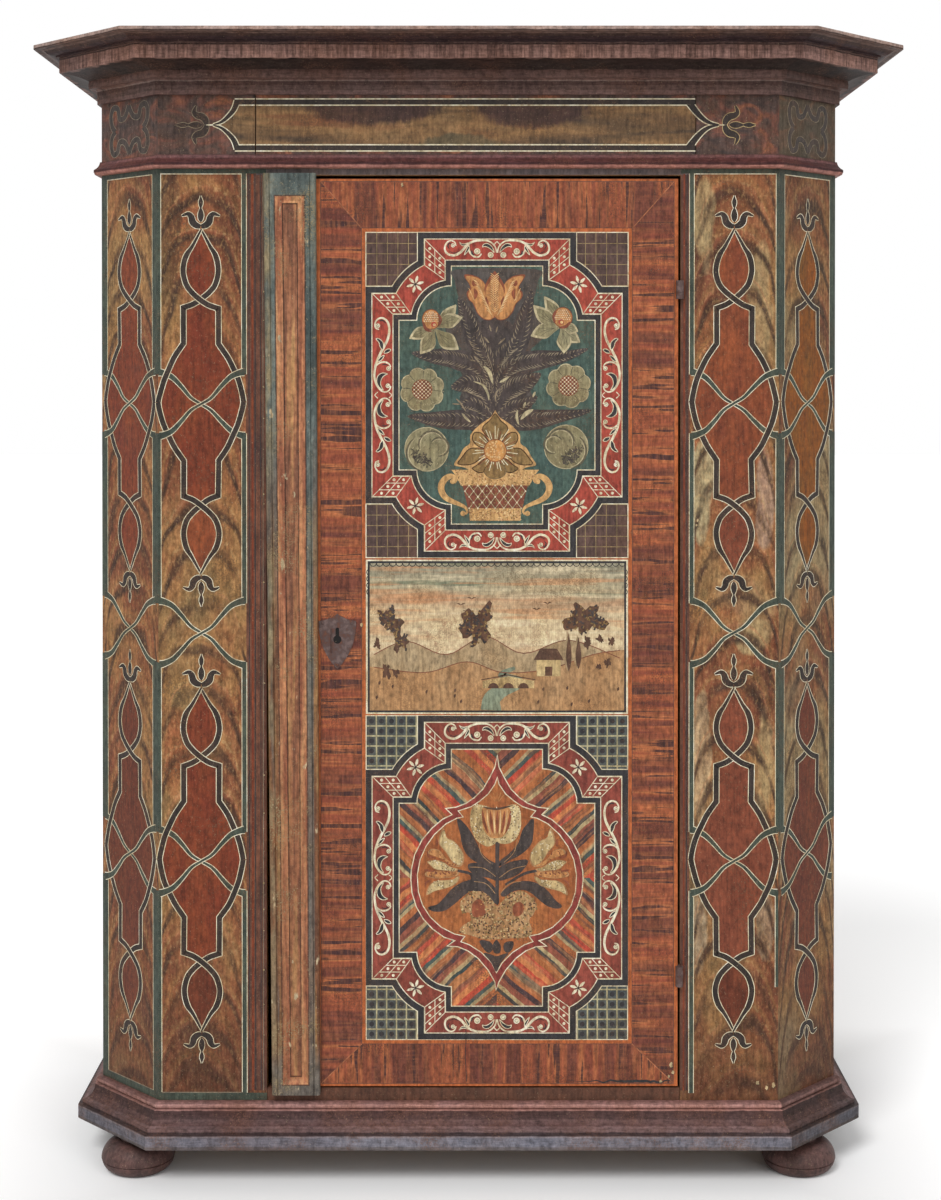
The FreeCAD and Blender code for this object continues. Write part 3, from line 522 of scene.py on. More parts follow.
def marbled(name, direction, centre, outward, reach, seed=0.0, narrow=1.0, pale=0.0, patches=(), smoky=0.0,
            both_sides=False):
    """Red-brown and golden ground under soft dark pointed arches, mirrored about the middle line."""
    finish = Finish(name, shine=0.14)
    height = finish.along(UP)
    spread = abs(finish.along(direction, centre * MM)) * narrow
    # share runs from 0 to 1 over each arch; the arches drop away from the middle line
    arches = height + (spread * 0.45 + spread ** 4.0 * 3000.0)
    bend = finish.noise(4.5, 2.0, offset=seed + 4.0) * 0.15
    feathered = finish.noise(60.0, 4.0, (1.0, 1.0, 0.4), seed + 1.0) * 0.016
    share = ((arches + (bend + feathered)) / ARCH_PITCH).fraction()
    clouds = finish.noise(7.0, 4.0, (1.0, 1.0, 0.6), seed)
    ground = finish.ramp(clouds, (0.34, "604133"), (0.43, "7c4a35"), (0.51, "8e5c3e"), (0.60, "9c754c"),
                         (0.70, "7f6b4a"))
    golden = finish.ramp(share, (0.30, 0.0), (0.42, 1.0), (0.60, 0.0))
    ground = finish.mix(golden * 0.4, ground, "a67e50")
    if pale:
        ground = finish.dabs(ground, "a39370", 0.85, 0.60 - 0.15 * pale, 0.70 - 0.15 * pale,
                             4.2, 3.0, (1.0, 1.0, 0.7), seed + 15.0)
    if patches:
        ragged = finish.noise(17.0, 5.0, (1.0, 1.0, 0.6), seed + 17.0) * 3.2 - 1.1
        for code, strength, middle, patch_reach in patches:
            ground = finish.mix(oval(finish, middle, patch_reach, ragged) * strength, ground, code)
    dark = finish.ramp(share, (0.0, 1.0), (0.14, 0.85), (0.24, 0.0), (0.86, 0.0), (1.0, 1.0))
    strength = finish.step(finish.noise(9.0, 3.0, offset=seed + 7.0), 0.30, 0.50)
    ground = finish.mix(dark * strength * 0.95, ground, "40312a")
    rows = finish.between(share, 0.26, 0.31, 0.38, 0.42)
    ground = finish.dabs(ground, "bb9d6e", rows * 0.4, 0.52, 0.60, 150.0, 2.0, offset=seed + 9.0)
    brush_line = finish.between(share, 0.25, 0.29, 0.32, 0.36)
    ground = finish.dabs(ground, "b17a58", brush_line * 0.45, 0.42, 0.58, 12.0, 3.0, offset=seed + 19.0)
    for code, strength, start, end, scale, detail, offset in (
            ("65432f", 0.4, 0.46, 0.62, 60.0, 5.0, 2.0), ("c79f6c", 0.25, 0.53, 0.66, 240.0, 3.0, 21.0),
            ("33251e", 0.25, 0.52, 0.64, 200.0, 4.0, 23.0)):
        ground = finish.dabs(ground, code, strength, start, end, scale, detail, (1.0, 1.0, 0.5),
                             seed + offset)
    ground = finish.mix(0.3 * smoky, ground, "454030")
    ground = finish.mix(finish.step(height, 0.48, 0.20) * 0.35, ground, "5c3d2c")
    ground = finish.mix(finish.step(height, 0.27, 0.15) * 0.45, ground, "4a3026")
    swirl = finish.noise(16.0, 4.0, (1.0, 1.0, 1.6), seed + 6.0, 1.4)
    above = finish.ramp(swirl, (0.34, "463c3a"), (0.48, "584640"), (0.57, "6d4a41"), (0.68, "8a5a44"))
    above = finish.mix(smoky, above, "57503f")
    ground = finish.mix(finish.step(height, (BODY_TOP + 8.0) * MM, (BODY_TOP + 9.0) * MM), ground, above)
    return finish.aged(skin_of(finish, outward, reach, ground, seed, both_sides), "4c3a2c", 0.6, seed)


def bars(name, across, seed, depth=0.0):
    """Imitation veneer: orange wood with dark bars across the given direction; depth darkens it all."""
    finish = Finish(name)

    def run(along, over):
        return (over, over, along) if across == "x" else (along, along, over)

    broad = finish.noise(1.9, 3.0, run(1.0, 18.0), seed, 0.35)
    thin = finish.noise(5.4, 3.0, run(1.0, 18.0), seed + 5.0, 0.2)
    cross = finish.noise(4.0, 3.0, run(60.0, 3.0), seed + 1.0)
    wood = finish.ramp(thin, (0.34, "8a4834"), (0.5, "a45d3c"), (0.62, "bd784a"))
    wood = finish.dabs(wood, "774030", 0.55, 0.4, 0.7, 4.0, 4.0, run(3.0, 60.0), seed + 8.0)
    dark = (finish.step(broad, 0.47, 0.58) * 0.64).most(finish.step(thin, 0.565, 0.60) * 0.95)
    dark = finish.math("MULTIPLY", dark, cross * 0.95 + 0.45, clamp=True)
    wood = finish.mix(dark, wood, "42292a")
    return finish.aged(finish.mix(depth, wood, "4a2c25"), "3c2a26", 0.7, seed)


def heights(name, stops, seed=0.0, streaks=None, cant_shade=0.0):
    """Mouldings painted in level bands; each stop is a height in mm and the colour from there up."""
    finish = Finish(name, shine=0.1)
    height = finish.along(UP) + (finish.noise(40.0, 3.0, offset=seed + 2.0) - 0.5) * 0.003
    colour = stops[0][1]
    for level, code in stops[1:]:
        colour = finish.mix(finish.step(height, (level - 0.6) * MM, (level + 0.6) * MM), colour, code)
    if streaks:
        low, high, code = streaks
        edges = [(level + side) * MM for level in (low, high) for side in (-0.5, 0.5)]
        band = finish.between(height, *edges)
        colour = finish.dabs(colour, code, band * 0.7, 0.44, 0.60, 9.0, 5.0, (26.0, 26.0, 1.2), seed + 4.0,
                             0.6)
    # dust on the upward faces of the crown
    dusty = finish.step(finish.dot(finish.facing, UP), 0.97, 0.99) * finish.step(height, 1.88, 1.89)
    colour = finish.mix(dusty, colour, "54413a")
    colour = finish.dabs(colour, "3a2422", 0.35, 0.4, 0.7, 7.0, 4.0, offset=seed + 1.0)
    # painted shade: this share of dark brown darkens the whole moulding, standing for the shade on a cant
    # turned from the light
    colour = finish.mix(cant_shade, colour, "241f1d")
    return finish.aged(colour, "6d4a3c", 0.5, seed, (6.0, 6.0, 40.0))


def softwood(name, seed=0.0, along="z"):
    """Bare old spruce that has darkened with age."""
    finish = Finish(name, 0.7, shine=0.14)
    return finish.aged(spruce(finish, seed, along), "7d6648", 0.25, seed, (8.0, 8.0, 1.0), 0.15)


def iron(name, seed=0.0):
    """Forged iron, dark grey-brown, with patches of rust."""
    finish = Finish(name, 0.55, 0.3)
    rust = finish.noise(90.0, 5.0, offset=seed)
    hammer = finish.noise(160.0, 2.0, offset=seed + 3.0)
    finish.feed("Base Color", finish.ramp(rust, (0.38, "6f5c58"), (0.5, "5a4a47"), (0.6, "5c423b"),
                                          (0.7, "6c4738")))
    finish.feed("Roughness", rust * 0.5 + 0.34)
    finish.bump(hammer + rust * 0.5, 0.0004, 0.5)
    return finish.material


# ---------------------------------------------------------------- finishes of the frame
# mouldings in level bands: a height in mm, and the colour from there up
# the last stop, pale from 1894.6 mm up, is a painted highlight along the top edge of the crown
CORNICE_BANDS = [(0.0, "48302d"), (1804.5, "725a55"), (1812.0, "614d48"), (1820.0, "513e3a"),
                 (1826.5, "7b6861"), (1828.2, "6a524c"), (1843.5, "352c29"), (1854.0, "2c2421"),
                 (1855.0, "a98378"), (1866.0, "98756b"), (1876.5, "2a201e"), (1878.5, "6b5650"),
                 (1880.5, "3a2d2f"), (1887.0, "42332f"), (1890.8, "6c5851"), (1892.6, "3d312d"),
                 (1894.6, "a8928a")]
# the lowest stop is a painted highlight on the underside of the string bead, kept light against its shade
STRING_BANDS = [(0.0, "a8766c"), (1688.0, "43292a"), (1692.0, "553332"), (1700.5, "6e4b4b"),
                (1704.5, "5a403e")]
# the stop at 118 mm is a painted highlight on the top bead of the base
BASE_BANDS = [(0.0, "666163"), (68.5, "74747f"), (83.5, "857d82"), (86.0, "4a4042"), (90.0, "766060"),
              (97.0, "5e4847"), (105.0, "4c3938"), (118.0, "a98079"), (127.5, "7d5c58")]
CORNICE_STREAKS = (1855.5, 1881.0, "5b4540")     # from, to and colour of the streaks on the cornice

# worn or smoky patches of the stiles: (colour, share, middle, reach), places on the front in mm
PALE_PATCHES = (
    ("a8926a", 0.85, (393.0, 1590.0), (19.0, 78.0)), ("a8926a", 0.80, (482.0, 1440.0), (22.0, 105.0)),
    ("b0a27c", 0.85, (388.0, 1160.0), (19.0, 78.0)), ("b39a86", 0.60, (492.0, 1130.0), (16.0, 80.0)),
    ("a8926a", 0.85, (474.0, 905.0), (30.0, 30.0)), ("b39a78", 0.80, (387.0, 715.0), (16.0, 100.0)),
    ("a8926a", 0.75, (493.0, 690.0), (17.0, 98.0)), ("9f8f76", 0.80, (384.0, 410.0), (18.0, 70.0)),
    ("9f8f76", 0.60, (494.0, 425.0), (16.0, 60.0)))
DARK_PATCHES = (
    ("3d352c", 0.60, (-497.0, 1580.0), (19.0, 110.0)), ("503629", 0.45, (-396.0, 1600.0), (18.0, 70.0)),
    ("a4744a", 0.50, (-402.0, 1190.0), (20.0, 70.0)), ("8f4f36", 0.45, (-486.0, 700.0), (22.0, 80.0)))


def dress_frame():
    """Give each CAD piece its finish."""
    slant = math.sqrt(0.5)
    # the middle of each cant's face, measured along it from the origin, and its distance from there
    cant_middle = slant * (FRONT_HALF + FRONT_Y + CANT)
    cant_reach = slant * (FRONT_HALF - FRONT_Y)
    side = marbled("side_marble", INWARD, (FRONT_Y + CANT + CASE_BACK) / 2.0, ACROSS, FRONT_HALF + CANT, 41.0,
                   0.42, both_sides=True)
    ground = Finish("door_ground")
    door = ground.aged(skin_of(ground, FORWARD, -DOOR_Y, linear("a85c33"), 12.0), seed=12.0)
    wood_z, wood_x, wood_y = (softwood("softwood_" + run, seed, axis) for run, seed, axis in (
        ("upright", 2.0, "z"), ("level", 4.0, "x"), ("deep", 6.0, "y")))
    cornice = heights("cornice_paint", CORNICE_BANDS, 3.0, CORNICE_STREAKS)
    metal = iron("wrought_iron", 8.0)
    finishes = {
        "stile_left": marbled("stile_marble_left", ACROSS, STILE_MIDDLES[LEFT], FORWARD, -FRONT_Y, 1.0,
                              patches=DARK_PATCHES),
        "stile_right": marbled("stile_marble_right", ACROSS, STILE_MIDDLES[RIGHT], FORWARD, -FRONT_Y, 13.0,
                               1.0, 0.35, PALE_PATCHES),
        "cant_board_left": marbled("cant_marble_left", (slant, -slant, 0.0), -cant_middle,
                                   (-slant, -slant, 0.0), cant_reach, 21.0),
        "cant_board_right": marbled("cant_marble_right", (slant, slant, 0.0), cant_middle,
                                    (slant, -slant, 0.0), cant_reach, 31.0, 1.0, 0.75, smoky=0.6),
        "frieze_rail": marbled("frieze_marble", ACROSS, 0.0, FORWARD, -FRONT_Y, 51.0, 0.2),
        "bottom_rail": plain_paint("rail_paint", "5c3c2e", "4b3329", 10.0),
        # painted shade: the last number of these calls darkens the base and bed cants, the right ones most
        "base_cant_left": heights("base_paint_left", BASE_BANDS, 7.0, cant_shade=0.28),
        "base_cant_right": heights("base_paint_right", BASE_BANDS, 7.0, cant_shade=0.55),
        "bed_cant_right": heights("bed_paint_right", CORNICE_BANDS, 3.0, CORNICE_STREAKS, 0.35),
        "closing_strip": strip_paint(), "back_boards": wood_z, "base_back": wood_x, "pegs": wood_y}
    starts = {"side_board": side, "door_board": door, "door_batten": wood_x, "floor_": wood_x, "top_": wood_x,
              "hat_": wood_x, "peg_rail": wood_x, "shelf_cleats": wood_y,
              "foot_": plain_paint("foot_paint", "58403d", "443433", 9.0, 0.8, "3a2824"),
              "base_": heights("base_paint", BASE_BANDS, 7.0),
              "string_": heights("string_paint", STRING_BANDS, 5.0),
              "bed_": cornice, "crown_": cornice, "hinge_": metal, "lock_": metal, "escutcheon": metal}
    for name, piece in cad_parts.items():
        finish = finishes.get(name) or next(f for start, f in starts.items() if name.startswith(start))
        piece.data.materials.clear()
        piece.data.materials.append(finish)


def frieze_field():
    """Ochre and olive brushed along the frieze, with dark feathered swags hanging from its top."""
    finish = Finish("frieze_field")
    brushed = finish.noise(7.0, 5.0, (0.5, 1.0, 3.2), 4.0, 0.6)
    colour = finish.ramp(brushed, (0.34, "4a3c30"), (0.45, "70563c"), (0.55, "8c6c49"), (0.66, "82573c"))
    colour = finish.dabs(colour, "5d4a33", 0.5, 0.45, 0.65, 40.0, 4.0, (0.35, 1.0, 2.5), 6.0)
    feather_edge = finish.noise(130.0, 3.0, (1.0, 1.0, 0.35), 8.0)
    swags = oval(finish, (-158.0, 1789.0), (112.0, 34.0), feather_edge).most(
        oval(finish, (104.0, 1789.0), (96.0, 40.0), feather_edge))
    colour = finish.mix(swags * 0.85, colour, "3f2c2b")
    mound = oval(finish, (-14.0, 1722.0), (64.0, 19.0), feather_edge)
    return finish.aged(finish.mix(mound * 0.7, colour, "55513f"), "4c3a2c", 0.5, 17.0)


STRIP_LEAN = (13.4, 6.3)            # how far the left and the right edge of the strip lean left going up
PANEL_FROM_END = (18.0, 38.0)       # from the strip's foot and top to its sunk panel


def strip_paint():
    """Blue-green closing strip with an orange moulding round its sunk ochre panel, much rubbed."""
    finish = Finish("strip_paint")

    def streaked(scale, run, seed, *codes):
        return finish.ramp(finish.noise(scale, 5.0, run, seed), *zip((0.38, 0.5, 0.62), codes))

    brushed = finish.noise(24.0, 4.0, (1.0, 1.0, 0.2), 3.0)
    teal = finish.ramp(brushed, (0.3, "414b4a"), (0.5, "5a6461"), (0.7, "767a70"))
    across, height = finish.along(ACROSS), finish.along(UP)
    # inset is the distance inside the sunk panel's edges, and depth the same with an uneven line
    rise = finish.step(height, STRIP[0][2] * MM, STRIP[1][2] * MM)
    left = (STRIP_LEFT + STRIP_INSET) * MM - rise * (STRIP_LEAN[0] * MM)
    right = (STRIP[1][0] - STRIP_INSET) * MM - rise * (STRIP_LEAN[1] * MM)
    from_ends = (height - (STRIP[0][2] + PANEL_FROM_END[0]) * MM).least(
        (STRIP[1][2] - PANEL_FROM_END[1]) * MM - height)
    inset = (across - left).least(right - across).least(from_ends)
    depth = inset + (finish.noise(30.0, 3.0, offset=9.0) - 0.5) * 0.002
    orange = streaked(8.0, (12.0, 12.0, 0.6), 2.0, "8d5740", "b47a57", "c49166")
    ochre = streaked(8.0, (14.0, 14.0, 0.6), 7.0, "704a38", "996649", "ae8357")
    bare = streaked(9.0, (14.0, 14.0, 0.5), 31.0, "5a3f30", "7d5539", "98784f")
    # bare wood where hands have rubbed the paint off, except on the right side
    right_side = finish.step(across, -0.300, -0.285)
    kept = right_side * (1.0 - finish.step(inset, -0.0105, -0.0125))
    patchy = finish.step(finish.noise(10.0, 4.0, (6.0, 6.0, 0.5), 33.0), 0.30, 0.44)
    rubbed = finish.between(height, 0.185, 0.23, 0.92, 1.28) * patchy * (1.0 - kept * 0.8)
    teal = finish.mix(rubbed, teal, bare)
    colour = finish.mix(finish.step(depth, -0.0008, 0.0004), teal, orange)
    colour = finish.mix(finish.step(depth, 0.0120, 0.0130), colour, ochre)
    # painted shade: dark lines along the steps of the sunk panel's moulding, at its inner and outer edge
    line = finish.between(depth, 0.0108, 0.0116, 0.0128, 0.0136)
    rim = finish.between(depth, -0.0022, -0.0014, 0.0, 0.0008)
    colour = finish.mix(line.most(rim) * 0.8, colour, "3a2622")
    left_edge = finish.step(across - left, -0.006, -0.012)
    colour = finish.dabs(colour, "857a60", left_edge, 0.42, 0.6, 45.0, 4.0, (1.0, 1.0, 0.25), 5.0)
    colour = finish.mix(finish.step(height, 1.0, 0.6) * 0.32, colour, "6b3f2b")
    colour = finish.dabs(colour, "b3a283", 1.0, 0.66, 0.70, 70.0, 4.0, (1.0, 1.0, 0.4), 12.0)
    return finish.aged(colour, "8a7a5a", 0.8, 15.0)


# each paint's colour and the one that it varies to
PAINT_CODES = {
    "cream": ("e4dabf", "cdc09f"), "dark_band": ("2c2623", "39302c"), "green_band": ("444d43", "384039"),
    "lintel": ("655a59", "574c4c"), "deep": ("100d0c", "161211"), "red_fill": ("6b2f1e", "7a3d23"),
    "rust": ("864729", "723a26"), "brown_fill": ("7c432f", "6c3827"), "amber": ("834813", "724919"),
    "umber": ("5d2d1e", "693723"), "margin": ("6e4635", "432e29"), "black": ("2c2c2f", "363334"),
    "red": ("a5493b", "8c3b31"), "teal": ("3c4f4a", "4b5e54"), "lattice": ("4a3a37", "5c463f"),
    "ochre_line": ("a4694a", "935b40"), "grid": ("99845f", "80704f"), "dark_teal": ("42494a", "515552"),
    "pale_grid": ("ada583", "918b6b"), "petal": ("8f8768", "777154"), "petal_rim": ("b7ac8b", "a09576"),
    "petal_dark": ("605b48", "504c3f"), "tulip": ("c08a57", "a97447"), "tulip_dark": ("8a4f37", "78432f"),
    "tulip_rib": ("d9b585", "c69d6b"), "leaf": ("49403e", "3b3533"), "smoke": ("4a4542", "514b47"),
    "hatch": ("8f836e", "776b59"), "gold": ("c58f55", "ad7a48"), "gold_rim": ("c8a06c", "b58c5a"),
    "core": ("7c4736", "6a3b30"), "medallion": ("a4653a", "935532"), "medallion_red": ("8a3f38", "783530"),
    "tan": ("c9b284", "a58d61"), "hill": ("b08a62", "9a744f"), "far_hill": ("a99474", "98805f"),
    "tree": ("5f4535", "4e382e"), "water": ("808872", "6f7866"), "faint": ("8a7e6d", "756a5b"),
    "chip": ("bda67f", "9c8863"), "ghost": ("4a403b", "3d3632"), "olive": ("8c7148", "7b6440"),
    "brick": ("8d463a", "763a31")}


def paint_set(body, slot, names, tag):
    """One film for each named colour on one body."""
    films = {}
    for order, name in enumerate(names):
        material = (bpy.data.materials.get("paint_" + name)
                    or plain_paint("paint_" + name, *PAINT_CODES[name], 60.0 + order))
        films[name] = Film(tag + "_" + name, body, slot, material)
    return films


# ---------------------------------------------------------------- strapwork on stiles and cants
UNIT_HEIGHTS = (1295.0, 533.0)      # the middle of each strapwork unit above the floor
LILY_REACH = 291.0                  # from a unit's middle to its lilies
MIDDLE_CROSS = 911.0                # the free crossing between the two units
BAND = 8.4                          # width of a strap
CROSS_RISE = 53.0                   # a green strap leaves the side this far above its crossing
CROSS_DROP = 3.0                    # crossings lie this far under the unit's middle
TOP_BAND = 8.0                      # height of the green border under the string bead
FOOT_BAND = 12.0                    # and of the one over the base, on the left side
CORNER_BAND = 4.4                   # width of the band along a stile's outer corner
CANT_NEAR = 147.5                   # from a cant's back edge to the band beside its stile
CANT_FAR = 16.0                     # width of the band along its back edge
CANT_MIDDLE = 81.5                  # the middle of a cant's ornament
# left and right: where an inner band's outer and inner edge lie, and where the painting ends by the door
INNER_BANDS = {LEFT: (-376.4, -369.4), RIGHT: (374.4, 367.7)}
DOOR_SIDES = {LEFT: -336.0, RIGHT: 352.5}
# the right side's outer bands are worn away below these heights
STILE_WEAR = {LEFT: 0.0, RIGHT: 320.0}
CANT_WEAR = {LEFT: 0.0, RIGHT: 482.0}
# colours of the upper and lower unit's ground, and of its lowest almond
STILE_FILLS = {LEFT: (("red_fill", "rust"), ("red_fill", "umber")),
               RIGHT: (("rust", "brown_fill"), ("brown_fill", "umber"))}
CANT_FILLS = {LEFT: (("red_fill", "red_fill"), ("umber", "umber")),
              RIGHT: (("amber", "amber"), ("umber", "umber"))}
# upright lines beside the door: (place, colour, width)
MARGIN_LINES = {LEFT: ((-364.6, "black", 1.5), (-359.0, "red_fill", 3.4), (-354.5, "black", 1.7),
                       (-345.5, "black", 1.3), (-341.5, "faint", 1.0)),
                RIGHT: ((363.2, "black", 1.4), (358.4, "red_fill", 2.6))}

# upper half of one strand, from the unit's middle: the almond's left side, then the oval's right
ALMOND = [(0.0, 286.0), (-14.5, 259.0), (-23.8, 244.5), (-28.6, 229.0), (-29.1, 213.0), (-23.8, 195.5),
          (-14.5, 183.5), (-4.5, 174.4), (5.0, 167.0), (15.0, 161.0), (29.3, 156.0)]
OVAL = [(29.3, 97.0), (43.8, 76.0), (53.2, 57.0), (62.2, 36.0), (68.5, 12.0), (70.5, 0.0)]


def fleur(brush, base, size=1.0, turn=0.0, level=4, line="cream"):
    """A three-part lily: a spear bud between two arms that curl outward."""
    arm = smooth([(0.5, 0.5), (7.5, 2.5), (13.5, 8.0), (16.0, 16.5), (21.5, 21.5), (32.0, 18.0)], 6)
    spear = [(0.0, 8.0 + 44.0 * i / 24.0) for i in range(25)]

    def arm_width(t):
        return 1.2 + 11.0 * math.sin(math.pi * min(0.12 + 0.88 * t, 1.0)) ** 0.8 * (1.0 - 0.25 * t)

    def spear_width(t):
        waist = abs(math.sin(math.pi * t * 1.9)) ** 0.7
        return 1.2 + 10.0 * waist * (1.0 - 0.5 * t) * min(1.0, 5.0 * (1.0 - t))

    for path, width in ((arm, arm_width), (shifted(arm, flip_u=True), arm_width), (spear, spear_width)):
        brush.banded("dark_band", shifted(path, *base, size=size, turn=turn), lambda t, w=width: size * w(t),
                     level, 1.1, line)


def crossing(brush, centre, height, left, right, seed):
    """Two green straps swing in from the sides, cross on the middle line and swing out again."""
    half = [(1.0, 1.0), (0.88, 0.96), (0.68, 0.83), (0.46, 0.53), (0.24, 0.2), (0.0, 0.0)]
    for level, start, end in ((2, left, right), (8, right, left)):
        path = ([(start * a, CROSS_RISE * b) for a, b in half]
                + [(end * a, -CROSS_RISE * b) for a, b in half[-2::-1]])
        line = hand(shifted(smooth(path), centre, height), 1.6, 60.0, seed + level)
        brush.banded("green_band", line, lambda t: 3.6 + 8.0 * abs(2.0 * t - 1.0) ** 1.3, level)


def strapwork(brush, centre, left, right, seed, fills):
    """The ornament of one upright panel; left and right are the side bands' places from its middle."""
    strand = smooth(ALMOND) + smooth(OVAL)
    strand = strand + [(u, -v) for u, v in strand[-2::-1]]
    middle = len(strand) // 2
    outline = [(abs(u) + 0.2, v) for u, v in strand]
    outline = outline + [(-u, v) for u, v in outline[::-1]]
    almond = [(u, v) for u, v in outline if v < -ALMOND[7][1]]
    for order, (height, (ground, lowest)) in enumerate(zip(UNIT_HEIGHTS, fills)):
        brush.fill(ground, shifted(outline, centre, height), 1)
        brush.fill(lowest, shifted(almond, centre, height), 2)
        for flip in (False, True):
            line = hand(shifted(strand, centre, height, flip_u=flip), 2.0, 70.0, seed + order + 3.0 * flip)
            parts = (line[:middle + 1], line[middle:][::-1])
            for part, level in zip(parts, (4, 6) if flip else (6, 4)):
                brush.banded("dark_band", part, lambda t: BAND * min(1.0, 0.3 + 5.0 * t), level)
        crossing(brush, centre, height - CROSS_DROP, left, right, seed + order)
        fleur(brush, (centre, height + LILY_REACH))
        fleur(brush, (centre, height - LILY_REACH), 0.95, 180.0)
    crossing(brush, centre, MIDDLE_CROSS, left, right, seed + 5.0)


def side_band(brush, edge, other, limits, worn_below=0.0):
    """One upright band between two edges, in spans that end at the crossings, with a cream line on
    each edge that lies within the limits."""
    low, high = sorted((edge, other))
    left, right = max(low - CREAM_EDGE, limits[0]), min(high + CREAM_EDGE, limits[1])
    crossings = [UNIT_HEIGHTS[0] - CROSS_DROP, MIDDLE_CROSS, UNIT_HEIGHTS[1] - CROSS_DROP]
    tops = [BODY_TOP - 7.0] + [c - CROSS_RISE + 4.0 for c in crossings]
    bottoms = [c + CROSS_RISE - 4.0 for c in crossings] + [BODY_BOTTOM + 12.0]
    for top, bottom in zip(tops, bottoms):
        if top < worn_below:
            continue
        bottom = max(bottom, worn_below)
        brush.rect("cream", left, right, bottom, top, 2.1)
        brush.rect("green_band", low, high, bottom, top, 3.5)


def stile(brush, side, bottom, top):
    """Ornament of one stile, with the dark margin between it and the door."""
    corner = side * FRONT_HALF
    centre, (outer, inner), door_side = STILE_MIDDLES[side], INNER_BANDS[side], DOOR_SIDES[side]
    limits = sorted((corner, door_side))
    side_band(brush, inner, outer, limits)
    side_band(brush, corner - side * CORNER_BAND, corner, limits, STILE_WEAR[side])
    brush.rect("margin", *sorted((inner, door_side)), bottom + 16.0, top - TOP_BAND, 1)
    for place, colour, width in MARGIN_LINES[side]:
        brush.rect(colour, place - width / 2.0, place + width / 2.0, bottom + 16.0, top - 9.0, 2)
    left, right = sorted(((outer + inner) / 2.0 - centre, corner - side * 2.0 - centre))
    strapwork(brush, centre, left, right, 2.0 + side, STILE_FILLS[side])
    brush.rect("green_band", *limits, top - TOP_BAND, top, 3)
    brush.rect("cream", *sorted((outer, corner)), top - 9.5, top - TOP_BAND, 3)


def cant(brush, side, top):
    """Ornament of one canted corner board."""
    near, far = (CANT_NEAR, CANT_WIDTH), (0.0, CANT_FAR)
    if side == RIGHT:
        near, far = [sorted(CANT_WIDTH - u for u in span) for span in (near, far)]
    for span in (near, far):
        side_band(brush, *span, (0.0, CANT_WIDTH), CANT_WEAR[side])
    left, right = CANT_FAR / 2.0 - CANT_MIDDLE, CANT_WIDTH - CANT_FAR / 2.0 - CANT_MIDDLE
    strapwork(brush, CANT_MIDDLE, left, right, 8.0 + side, CANT_FILLS[side])
    brush.rect("green_band", 0.0, CANT_WIDTH, top - TOP_BAND, top, 3)
    brush.rect("cream", CANT_FAR, CANT_WIDTH - CANT_FAR, top - 9.5, top - TOP_BAND, 3)


def upright_panels(brush):
    """Stiles and cants: grounds are the boards' own; bands, straps and borders are films."""
    top, bottom = BODY_TOP - 0.5, BODY_BOTTOM + 0.5
    for side, face in ((LEFT, CANT_LEFT), (RIGHT, CANT_RIGHT)):
        stile(brush, side, bottom, top)
        cant(brush.on(face), side, top)
    foot = bottom + FOOT_BAND
    brush.rect("green_band", -FRONT_HALF, DOOR_SIDES[LEFT], bottom, foot, 3)
    brush.on(CANT_LEFT).rect("green_band", 0.0, CANT_WIDTH, bottom, foot, 3)
    brush.rect("faint", 4.0 - FRONT_HALF, -372.0, foot, foot + 1.4, 3)
    brush.on(CANT_LEFT).rect("faint", CANT_FAR, CANT_WIDTH - CANT_FAR, foot, foot + 1.4, 3)
    brush.rect("lintel", SEAM_LEFT + SEAM_HALF, SEAM_RIGHT - SEAM_HALF, DOOR_TOP + 6.6, top, 2)
    front_edge, back_edge = FRONT_Y + CANT + 0.5, CASE_BACK - 1.0
    side_frame(brush.on(SIDE_LEFT), -back_edge, -front_edge, bottom, top)
    side_frame(brush.on(SIDE_RIGHT), front_edge, back_edge, bottom, top)


def corners_of(left, right, low, high):
    """The corners of a rectangle, clockwise from the upper left."""
    return [(left, high), (right, high), (right, low), (left, low)]


def side_frame(brush, left, right, bottom, top):
    """A green border with a cream line round the lower part of a side board."""
    inner = (left + 14.0, right - 14.0, bottom + 14.0, top - 10.0)
    for edge in ((left, inner[0], bottom, top), (inner[1], right, bottom, top),
                 (inner[0], inner[1], bottom, inner[2]), (inner[0], inner[1], inner[3], top)):
        brush.rect("green_band", *edge, 2)
    brush.ring("cream", corners_of(*inner), 1.6, 3)


# ---------------------------------------------------------------- frieze
FRIEZE_MIDDLE = 1755.0
FRIEZE_BAND = 8.4                   # width of the dark band round the long panel
FRIEZE_REACH = 38.0                 # from the middle to the middle of the band
BRACKET_LEFT = [(-384.0, 39.5), (-389.5, 25.5), (-399.5, 13.5), (-411.0, 4.5), (-424.0, 0.5)]
BRACKET_RIGHT = [(365.0, 39.0), (377.4, 22.5), (390.0, 9.7), (402.0, 3.0), (416.0, 0.5)]
CANT_LOBE = [(0.0, 40.0), (12.0, 22.0), (27.0, 20.0), (33.0, 36.0), (46.0, 39.0), (53.0, 26.0), (50.0, 10.0),
             (40.0, 0.0)]


